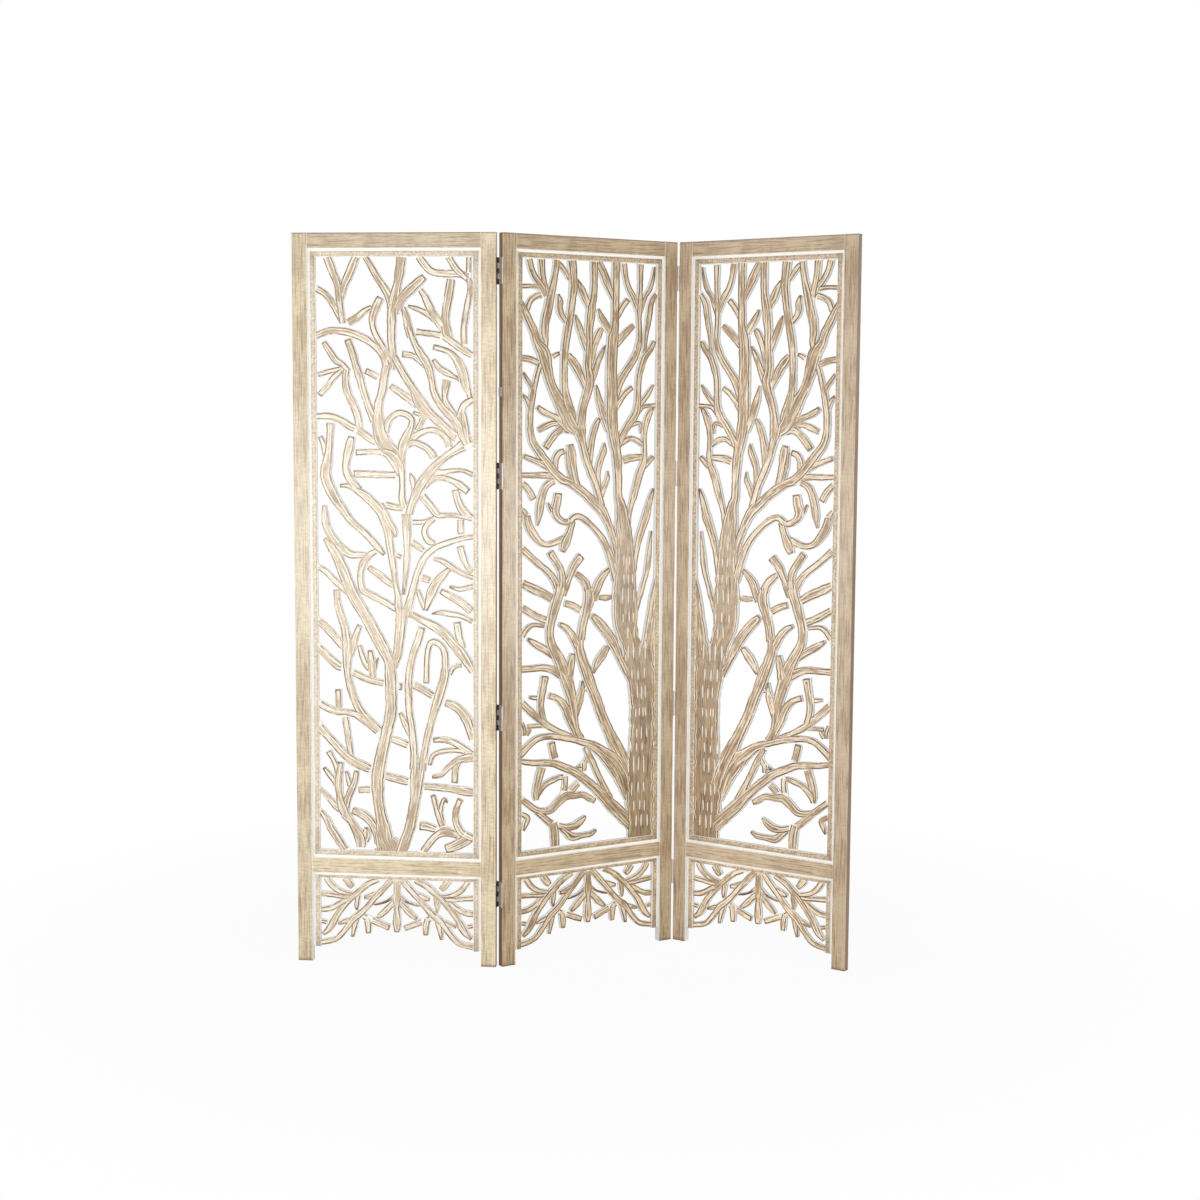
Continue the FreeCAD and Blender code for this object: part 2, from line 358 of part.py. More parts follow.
    (-18, 820, 20, 35, 800, 33, 70, 787, 37, 82, 772, 43),
    (-18, 780, 20, 35, 765, 37, 62, 748, 43),
)

# Aprons: a stem in the middle and a fan of branches on both sides of it
apron_stem_shares = (
    500, 1010, 48, 500, 850, 46, 500, 740, 62, 500, 600, 40, 500, 450, 54, 500, 350, 58, 500, 245, 36,
)
apron_half_shares = (
    (470, 1000, 46, 400, 830, 46, 352, 715, 44, 308, 600, 44, 255, 480, 48, 215, 415, 52, 190, 340, 46,
     150, 225, 42, 105, 120, 40, 60, 80, 40, -18, 45, 36),
    (410, 1010, 32, 335, 950, 42, 285, 880, 46, 248, 805, 46, 210, 735, 46, 175, 655, 46, 138, 555, 44,
     105, 460, 48, 78, 345, 54, 50, 250, 46, 14, 178, 30),
    (190, 705, 42, 145, 655, 42, 97, 590, 42, 50, 545, 42, -18, 528, 38),
    (205, 735, 32, 140, 730, 36, 80, 745, 36, -18, 765, 40),
    (220, 765, 26, 165, 780, 34, 115, 815, 40, 70, 890, 44, 35, 1000, 46),
    (160, 1005, 52, 185, 930, 54, 207, 878, 42),
    (245, 800, 42, 240, 690, 40, 235, 600, 34, 238, 530, 14),
    (400, 810, 46, 340, 755, 48, 288, 728, 30),
    (500, 790, 42, 440, 690, 22, 395, 650, 20, 348, 625, 14),
    (500, 700, 46, 450, 600, 44, 415, 520, 48, 372, 440, 30),
    (262, 472, 42, 305, 425, 42, 350, 385, 44, 400, 340, 44, 447, 300, 42),
    (300, 440, 42, 310, 330, 48, 311, 215, 36),
    (232, 410, 48, 220, 300, 40, 207, 155, 26),
    (220, 412, 38, 160, 370, 38, 112, 333, 22),
    (-18, 372, 28, 40, 343, 32),
)

field_width = panel_width - 2 * (stile_width + channel_width + bead_width)
board_left = stile_width + channel_width
board_width = panel_width - 2 * board_left
middle_rail_top = middle_rail_foot + middle_rail_height
top_rail_foot = panel_height - top_rail_height
tree_foot = middle_rail_top + channel_width
tree_height = top_rail_foot - channel_width - tree_foot
apron_height = middle_rail_foot - channel_width - apron_foot
rail_length = panel_width - 2 * stile_width
lip_front = (frame_depth - lip_depth) / 2
board_front = (frame_depth - board_depth) / 2
barrel_pitch = leaf_height / barrel_count
barrel_length = barrel_pitch - barrel_gap
side_leaf_barrels = range(0, barrel_count, 2)
middle_leaf_barrels = range(1, barrel_count, 2)


def box(x, y, z, width, depth, height):
    return Part.makeBox(width, depth, height, Vector(x, y, z))


def rod(start, direction, radius, length):
    return Part.makeCylinder(radius, length, start, direction)


def eased_bar(x, y, z, width, depth, height, along):
    """A bar with its four long edges rounded; along is the bar's own direction."""
    bar = box(x, y, z, width, depth, height)
    long_edges = [edge for edge in bar.Edges if abs(edge.tangentAt(0).dot(along)) > 1 / 2]
    return bar.makeFillet(edge_round, long_edges)


def dowel_heights(rail_foot, rail_height):
    middle = rail_foot + rail_height / 2
    return (middle - dowel_spacing / 2, middle + dowel_spacing / 2)


def all_dowel_heights():
    return dowel_heights(middle_rail_foot, middle_rail_height) + dowel_heights(top_rail_foot, top_rail_height)


def dowel(joint_x, z, clearance):
    """A peg across the joint between stile and rail."""
    half_length = dowel_half_length + clearance
    start = Vector(joint_x - half_length, frame_depth / 2, z)
    return rod(start, Vector(1, 0, 0), dowel_radius + clearance, 2 * half_length)


def hinge_axes(side_x, back):
    """Hinge lines beside a panel edge: side_x places them, back tells which face they lie outside."""
    y = frame_depth + hinge_proud if back else -hinge_proud
    return [Vector(side_x, y, share * panel_height) for share in hinge_height_shares]


def left_stile(hinged, back):
    """Left stile of a panel, with its lips, dowel holes and hinge seats."""
    inner = stile_width - overrun
    stile = eased_bar(0, 0, 0, stile_width, frame_depth, panel_height, Vector(0, 0, 1))
    lip_width = channel_width + overrun
    tree_lip = box(inner, lip_front, middle_rail_top, lip_width, lip_depth, top_rail_foot - middle_rail_top)
    apron_lip = box(inner, lip_front, apron_foot, lip_width, lip_depth, middle_rail_foot - apron_foot)
    holes = [dowel(stile_width, z, dowel_clearance) for z in all_dowel_heights()]
    if hinged:
        holes += hinge_seats(-hinge_gap / 2, back, False)
    return stile.multiFuse([tree_lip, apron_lip]).removeSplitter().cut(Part.makeCompound(holes)).Solids[0]


def right_stile(hinged, back):
    """Right stile: the left one turned over, with its own hinge seats."""
    stile = flipped_panel_wise(left_stile(False, back))
    if hinged:
        stile = stile.cut(Part.makeCompound(hinge_seats(panel_width + hinge_gap / 2, back, True)))
    return stile.Solids[0]


def flipped_panel_wise(shape):
    return shape.mirror(Vector(panel_width / 2, 0, 0), Vector(1, 0, 0))


def rail(foot, height, lip_above, lip_below):
    """A rail between the stiles, with a lip on the edges that face a carved board."""
    bar = eased_bar(stile_width, 0, foot, rail_length, frame_depth, height, Vector(1, 0, 0))
    lips = []
    lip_height = channel_width + overrun
    if lip_above:
        lips.append(box(board_left, lip_front, foot + height - overrun, board_width, lip_depth, lip_height))
    if lip_below:
        lips.append(box(board_left, lip_front, foot - channel_width, board_width, lip_depth, lip_height))
    holes = []
    for z in dowel_heights(foot, height):
        holes.append(dowel(stile_width, z, dowel_clearance))
        holes.append(dowel(panel_width - stile_width, z, dowel_clearance))
    return bar.multiFuse(lips).removeSplitter().cut(Part.makeCompound(holes)).Solids[0]


def panel_dowels():
    pegs = []
    for z in all_dowel_heights():
        pegs.append(dowel(stile_width, z, 0))
        pegs.append(dowel(panel_width - stile_width, z, 0))
    return Part.makeCompound(pegs)


def flat_rectangle(x, z, width, height):
    return Part.Face(Part.makePolygon([
        Vector(x, 0, z),
        Vector(x + width, 0, z),
        Vector(x + width, 0, z + height),
        Vector(x, 0, z + height),
        Vector(x, 0, z),
    ]))


def branch_sides(shares, width, height):
    """Points along both sides of a branch, square to the line through its points."""
    points = []
    for i in range(0, len(shares), 3):
        x = shares[i] * thousandth * width
        z = shares[i + 1] * thousandth * height
        half = shares[i + 2] * thousandth * width / 2
        points.append((Vector(x, 0, z), half))
    one_side = []
    other_side = []
    for i, (point, half) in enumerate(points):
        before = points[max(i - 1, 0)][0]
        after = points[min(i + 1, len(points) - 1)][0]
        run = (after - before).normalize()
        across = Vector(-run.z, 0, run.x) * half
        one_side.append(point + across)
        other_side.append(point - across)
    return one_side, other_side


def side_curve(points):
    if len(points) == 2:
        return Part.makeLine(points[0], points[1])
    curve = Part.BSplineCurve()
    curve.interpolate(points)
    return curve.toShape()


def tip_curve(start, end):
    """The bowed end of a branch, from one side to the other."""
    span = end - start
    bow = Vector(-span.z, 0, span.x) * tip_share
    return Part.Arc(start, (start + end) / 2 + bow, end).toShape()


def branch_face(shares, width, height):
    one_side, other_side = branch_sides(shares, width, height)
    edges = [side_curve(one_side), tip_curve(one_side[-1], other_side[-1])]
    edges += [side_curve(other_side[::-1]), tip_curve(other_side[0], one_side[0])]
    face = Part.Face(Part.Wire(edges))
    if face.normalAt(0, 0).y > 0:
        face.reverse()
    return face


def pierced_board(branches, foot, height, bead_below, bead_above):
    """A carved board: its plain border and all its branches, as one pierced plate."""
    outline = flat_rectangle(board_left, foot, board_width, height)
    field_foot = foot + bead_below
    field_height = height - bead_below - bead_above
    cut_foot = field_foot if bead_below else field_foot - overrun
    cut_height = field_foot + field_height - cut_foot
    field_left = board_left + bead_width
    border = outline.cut(flat_rectangle(field_left, cut_foot, field_width, cut_height))
    faces = []
    for shares in branches:
        face = branch_face(shares, field_width, field_height)
        face.translate(Vector(field_left, 0, field_foot))
        faces.append(face)
    joined = border.multiFuse(faces).common(outline)
    plate = Part.makeShell(joined.Faces).removeSplitter()
    solids = [face.extrude(Vector(0, board_depth, 0)) for face in plate.Faces]
    board = solids[0] if len(solids) == 1 else Part.makeCompound(solids)
    board.translate(Vector(0, board_front, 0))
    return board


def mirrored_branch(shares):
    """The same branch on the other side of the field's centre line."""
    centre_mirror = 1 / thousandth
    return tuple(value if i % 3 else centre_mirror - value for i, value in enumerate(shares))


def apron_branches():
    return (apron_stem_shares,) + apron_half_shares + tuple(mirrored_branch(row) for row in apron_half_shares)


def barrel(number):
    """One knuckle of a hinge, counted from below, on the hinge line through the origin."""
    foot = number * barrel_pitch + barrel_gap / 2 - leaf_height / 2
    return rod(Vector(0, 0, foot), Vector(0, 0, 1), barrel_radius, barrel_length)


def barrel_neck(number):
    """The part of the leaf that runs in under its knuckle."""
    foot = number * barrel_pitch + barrel_gap / 2 - leaf_height / 2
    reach = barrel_radius + barrel_relief + overrun
    return box(-hinge_gap / 2, -reach, foot, leaf_thickness, reach, barrel_length)


def screw_heights():
    first = -screw_spacing * (screws_per_leaf - 1) / 2
    return [first + i * screw_spacing for i in range(screws_per_leaf)]


def screw(z, clearance):
    """A countersunk screw through the leaf into the stile, or the hole for it."""
    leaf_face = leaf_thickness - hinge_gap / 2
    cone_depth = screw_head_radius - screw_radius
    start = Vector(leaf_face, -screw_line, z)
    inward = Vector(-1, 0, 0)
    head = Part.makeCone(screw_head_radius + clearance, screw_radius + clearance, cone_depth, start, inward)
    shank = rod(start, inward, screw_radius + clearance, screw_length + clearance)
    return head.fuse(shank).removeSplitter()


def leaf(barrels):
    """A hinge leaf on the edge of the stile to its left, its hinge line at the origin."""
    top = barrel_radius + barrel_relief
    foot = -leaf_height / 2
    plate = box(-hinge_gap / 2, -leaf_width - top, foot, leaf_thickness, leaf_width, leaf_height)
    pieces = [barrel_neck(number) for number in barrels] + [barrel(number) for number in barrels]
    bore_length = leaf_height + 2 * overrun
    bore = rod(Vector(0, 0, foot - overrun), Vector(0, 0, 1), pin_radius + pin_clearance, bore_length)
    holes = [bore] + [screw(z, screw_clearance) for z in screw_heights()]
    return plate.multiFuse(pieces).removeSplitter().cut(Part.makeCompound(holes)).Solids[0]


def pin():
    """The hinge pin with a round head at each end, resting on the end knuckles."""
    half_length = (leaf_height - barrel_gap) / 2
    up = Vector(0, 0, 1)
    shaft = rod(Vector(0, 0, -half_length), up, pin_radius, 2 * half_length)
    head = rod(Vector(0, 0, half_length), up, pin_head_radius, pin_head_height)
    crown = [edge for edge in head.Edges if edge.BoundBox.ZMin > half_length + pin_head_height / 2]
    head = head.makeFillet(pin_head_height / 2, crown)
    foot_head = head.mirror(Vector(0, 0, 0), up)
    return shaft.multiFuse([head, foot_head]).removeSplitter().Solids[0]


def leaf_screws():
    return Part.makeCompound([screw(z, 0) for z in screw_heights()])


def hinge_side(shape, axis, stile_on_left, back):
    """Moves something built in the hinge's own frame to a hinge line of a panel."""
    moved = shape.copy()
    if not stile_on_left:
        moved = moved.mirror(Vector(0, 0, 0), Vector(1, 0, 0))
    if not back:
        moved = moved.mirror(Vector(0, 0, 0), Vector(0, 1, 0))
    moved.translate(axis)
    return moved


def hinge_seats(side_x, back, stile_on_left):
    """Round reliefs for the knuckles and holes for the screws, to cut from a stile."""
    seats = []
    relief_height = leaf_height + 2 * overrun
    relief_foot = Vector(0, 0, -relief_height / 2)
    relief = rod(relief_foot, Vector(0, 0, 1), barrel_radius + barrel_relief, relief_height)
    pilots = [screw(z, screw_clearance) for z in screw_heights()]
    tool = Part.makeCompound([relief] + pilots)
    for axis in hinge_axes(side_x, back):
        seats.append(hinge_side(tool, axis, stile_on_left, back))
    return seats


def on_hinge_lines(shape, side_x, back, stile_on_left):
    return [hinge_side(shape, axis, stile_on_left, back) for axis in hinge_axes(side_x, back)]


def turned(turn, x, y):
    """A plan point turned about the vertical."""
    angle = math.radians(turn)
    return Vector(x * math.cos(angle) - y * math.sin(angle), x * math.sin(angle) + y * math.cos(angle), 0)


def panel_corners():
    """Where the front left corner of each panel stands, from the hinge lines the panels share."""
    behind = frame_depth + hinge_proud
    left = turned(left_turn, panel_width + hinge_gap / 2, behind) * -1
    middle = turned(middle_turn, -hinge_gap / 2, behind) * -1
    second_line = middle + turned(middle_turn, panel_width + hinge_gap / 2, -hinge_proud)
    right = second_line - turned(right_turn, -hinge_gap / 2, -hinge_proud)
    return (left, middle, right)


def placements():
    """Stands the screen with the middle of its plan at the origin."""
    turns = (left_turn, middle_turn, right_turn)
    corners = panel_corners()
    plan = []
    for corner, turn in zip(corners, turns):
        for x in (0, panel_width):
            for y in (0, frame_depth):
                plan.append(corner + turned(turn, x, y))
    centre_x = (min(point.x for point in plan) + max(point.x for point in plan)) / 2
    centre_y = (min(point.y for point in plan) + max(point.y for point in plan)) / 2
    centre = Vector(centre_x, centre_y, 0)
    up = Vector(0, 0, 1)
    turns_about = [FreeCAD.Rotation(up, turn) for turn in turns]
    return [FreeCAD.Placement(corner - centre, rotation) for corner, rotation in zip(corners, turns_about)]


os.makedirs("parts", exist_ok=True)


def save(name, shape, placement):
    placed = shape.copy()
    placed.Placement = placement.multiply(placed.Placement)
    placed.exportStep("parts/" + name + ".step")


left_place, middle_place, right_place = placements()
panels = (("left_panel", left_place), ("middle_panel", middle_place), ("right_panel", right_place))

# Frames: the left panel hinges at the back of its right stile, the right panel at the front of its left one
save("left_panel_left_stile", left_stile(False, True), left_place)
save("left_panel_right_stile", right_stile(True, True), left_place)
save("middle_panel_left_stile", left_stile(True, True), middle_place)
save("middle_panel_right_stile", right_stile(True, False), middle_place)
save("right_panel_left_stile", left_stile(True, False), right_place)
save("right_panel_right_stile", right_stile(False, False), right_place)
top_rail = rail(top_rail_foot, top_rail_height, False, True)
middle_rail = rail(middle_rail_foot, middle_rail_height, True, True)
for panel, place in panels:
    save(panel + "_top_rail", top_rail, place)
    save(panel + "_middle_rail", middle_rail, place)
    save(panel + "_rail_dowels", panel_dowels(), place)

# Carved boards: the right panel carries the middle one's tree turned over
left_tree = pierced_board(left_tree_shares, tree_foot, tree_height, bead_width, bead_width)
middle_tree = pierced_board(middle_tree_shares, tree_foot, tree_height, bead_width, bead_width)
save("left_panel_tree_board", left_tree, left_place)
save("middle_panel_tree_board", middle_tree, middle_place)
save("right_panel_tree_board", flipped_panel_wise(middle_tree), right_place)
apron = pierced_board(apron_branches(), apron_foot, apron_height, 0, apron_bead_height)
for panel, place in panels:
    save(panel + "_apron_board", apron, place)

# A pad on the middle panel's left edge, flush with the back face
top_hinge, upper_hinge = [share * panel_height for share in hinge_height_shares[:2]]
pad_foot = upper_hinge + pad_place_share * (top_hinge - upper_hinge) - pad_height / 2
pad = box(-pad_thickness, frame_depth - pad_depth, pad_foot, pad_thickness, pad_depth, pad_height)
save("middle_panel_edge_pad", pad, middle_place)

# Hinges: the side panels carry the leaves with the end knuckles and the pins
beyond = panel_width + hinge_gap / 2
short_of = -hinge_gap / 2
side_leaf = leaf(side_leaf_barrels)
middle_leaf = leaf(middle_leaf_barrels)
joints = (
    ("left_hinge", True, left_place, beyond, middle_place, short_of),
    ("right_hinge", False, right_place, short_of, middle_place, beyond),
)
for joint, back, side_place, side_x, middle_side_place, middle_x in joints:
    side_on_left = side_x > 0
    side_leaves = on_hinge_lines(side_leaf, side_x, back, side_on_left)
    middle_leaves = on_hinge_lines(middle_leaf, middle_x, back, not side_on_left)
    pins = on_hinge_lines(pin(), side_x, back, side_on_left)
    for i, level in enumerate(hinge_names):
        save(joint + "_" + level + "_side_leaf", side_leaves[i], side_place)
        save(joint + "_" + level + "_middle_leaf", middle_leaves[i], middle_side_place)
        save(joint + "_" + level + "_pin", pins[i], side_place)
    side_screws = Part.makeCompound(on_hinge_lines(leaf_screws(), side_x, back, side_on_left))
    middle_screws = Part.makeCompound(on_hinge_lines(leaf_screws(), middle_x, back, not side_on_left))
    save(joint + "_side_screws", side_screws, side_place)
    save(joint + "_middle_screws", middle_screws, middle_side_place)
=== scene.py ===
import bmesh
import bpy
import collections
import math
import random
from mathutils import Matrix, Vector, kdtree, noise


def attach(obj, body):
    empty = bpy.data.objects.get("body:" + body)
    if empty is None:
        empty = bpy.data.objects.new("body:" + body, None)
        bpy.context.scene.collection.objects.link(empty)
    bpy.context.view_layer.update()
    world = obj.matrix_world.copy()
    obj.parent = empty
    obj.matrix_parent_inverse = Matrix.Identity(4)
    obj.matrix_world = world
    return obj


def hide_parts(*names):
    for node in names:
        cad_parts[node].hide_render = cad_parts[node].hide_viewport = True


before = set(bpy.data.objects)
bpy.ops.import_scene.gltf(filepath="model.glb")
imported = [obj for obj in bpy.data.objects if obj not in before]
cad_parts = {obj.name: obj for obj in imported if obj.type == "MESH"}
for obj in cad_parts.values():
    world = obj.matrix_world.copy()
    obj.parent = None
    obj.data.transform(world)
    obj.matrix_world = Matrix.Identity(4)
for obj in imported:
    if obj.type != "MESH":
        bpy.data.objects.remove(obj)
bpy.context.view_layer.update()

Board = collections.namedtuple("Board", "foot top foot_bead top_bead")
Ring = collections.namedtuple("Ring", "place along half_width groove from_end")
Branch = collections.namedtuple("Branch", "path runs lengths half_width tone")

# Millimetres in each panel's own directions: x to the right from its left edge, y to the back from its front
# face, z up
millimetre = 0.001
panel_width = 508.0
panel_height = 1829.0
frame_depth = 20.0
stile_width = 38.0
top_rail_foot = 1791.0
middle_rail_foot = 230.0
middle_rail_top = 269.0
board_left = 43.5
board_right = 464.5
board_middle = frame_depth / 2
board_half_depth = 6.5
bead_width = 14.5
field_left = board_left + bead_width
field_width = board_right - board_left - 2 * bead_width
tree_board = Board(foot=274.5, top=1785.5, foot_bead=bead_width, top_bead=bead_width)
apron_board = Board(foot=37.5, top=224.5, foot_bead=0.0, top_bead=8.5)

# Front left corner of each panel at rest, in metres, and its turn about the vertical, in degrees
stances = {
    "left_panel": (-0.697563, -0.107122, -4.5),
    "middle_panel": (-0.174517, -0.142838, 32.5),
    "right_panel": (0.258374, 0.130111, -32.5),
}

# How far thin branches lie below the thick ones, and how unevenly a branch is cut
full_height_half_width = 15.0
thin_drop = 2.4
tone_drop = 1.2
wobble_length = 17.0
wobble_share = 0.10
lift_share = 0.12
lift_row = 5
noise_rows = 97

# Steps between the sections of a branch and of the bead
ring_step = 4.0
bead_step = 60.0

# A branch's section: its bevel, the most that bevel and lip take of the half width, and its ridge's place
branch_bevel = 2.1
bevel_most_share = 0.45
lip_of_bevel_share = 0.3
lip_most_share = 0.15
ridge_shift = 0.5

# The faces of sections from side to side: place across, share of the height, whitewash
side_heights = ((0.76, 1.0), (0.90, 0.7), (0.96, 0.0), (0.985, 0.0))
bead_crown = (
    (-1.0, 0.45, 1.0), (-0.90, 0.78, 1.0), (-0.74, 0.96, 0.3), (-0.40, 1.0, 0.0), (0.0, 1.0, 0.0),
    (0.40, 1.0, 0.0), (0.74, 0.96, 0.3), (0.90, 0.78, 1.0), (1.0, 0.45, 1.0),
)
gouge_crown = ((-1.0, 0.97, 1.0), (-0.5, 0.99, 1.0), (0.0, 1.0, 1.0), (0.5, 0.99, 1.0), (1.0, 0.97, 1.0))

# A branch's free end, as shares: how far it reaches, and along that its width, height and whitewash
tip_share = 0.14
tip_rings = ((0.5, 0.99, 1.0, 0.0), (0.85, 0.94, 0.97, 0.3), (1.0, 0.86, 0.84, 1.0))

# Where branches meet: an end inside another sinks, and a pale groove parts a branch from a wider one over it
end_sink = 0.3
touching = 0.6
groove_reach = 3.2
bead_groove_reach = 1.5
bead_groove = 0.7
groove_depth = 0.4
crossing_turn = 0.8
widest_grooved = 13.0

# A gouge cut: shares of its half length and width from end to end, and how unevenly the cuts lie in a row
gouge_rings = ((-1.0, 0.15), (-0.8, 0.7), (-0.3, 1.0), (0.3, 1.0), (0.8, 0.7), (1.0, 0.15))
gouge_half_width = 1.4
gouge_half_height = 6.6
gouge_place_shares = (0.3, 0.7)
gouge_length_shares = (0.7, 1.0)
gouge_shift = 3.0
gouge_lean = 0.06
gouge_tone = 0.5

# The tables below are given in thousandths. Each row is a branch, and each group of three is a
# point on it: its place across the open field, its place up the field, and the branch's width as a share of
# the field's width
thousandth = 0.001

# Rows of gouge cuts up the trunk: foot and head of the row, its left and right, and how many cuts
trunk_gouge_rows = (
    (17, 42, 840, 972, 3), (44, 66, 832, 950, 3), (74, 100, 808, 940, 3), (114, 146, 785, 935, 4),
    (150, 170, 800, 935, 3), (176, 198, 850, 955, 3), (212, 232, 842, 950, 4), (246, 270, 846, 950, 3),
    (278, 302, 810, 950, 3), (314, 348, 780, 952, 4), (352, 376, 770, 900, 3), (380, 402, 728, 860, 3),
    (415, 445, 725, 860, 3), (448, 470, 740, 850, 3), (480, 500, 735, 815, 2),
)

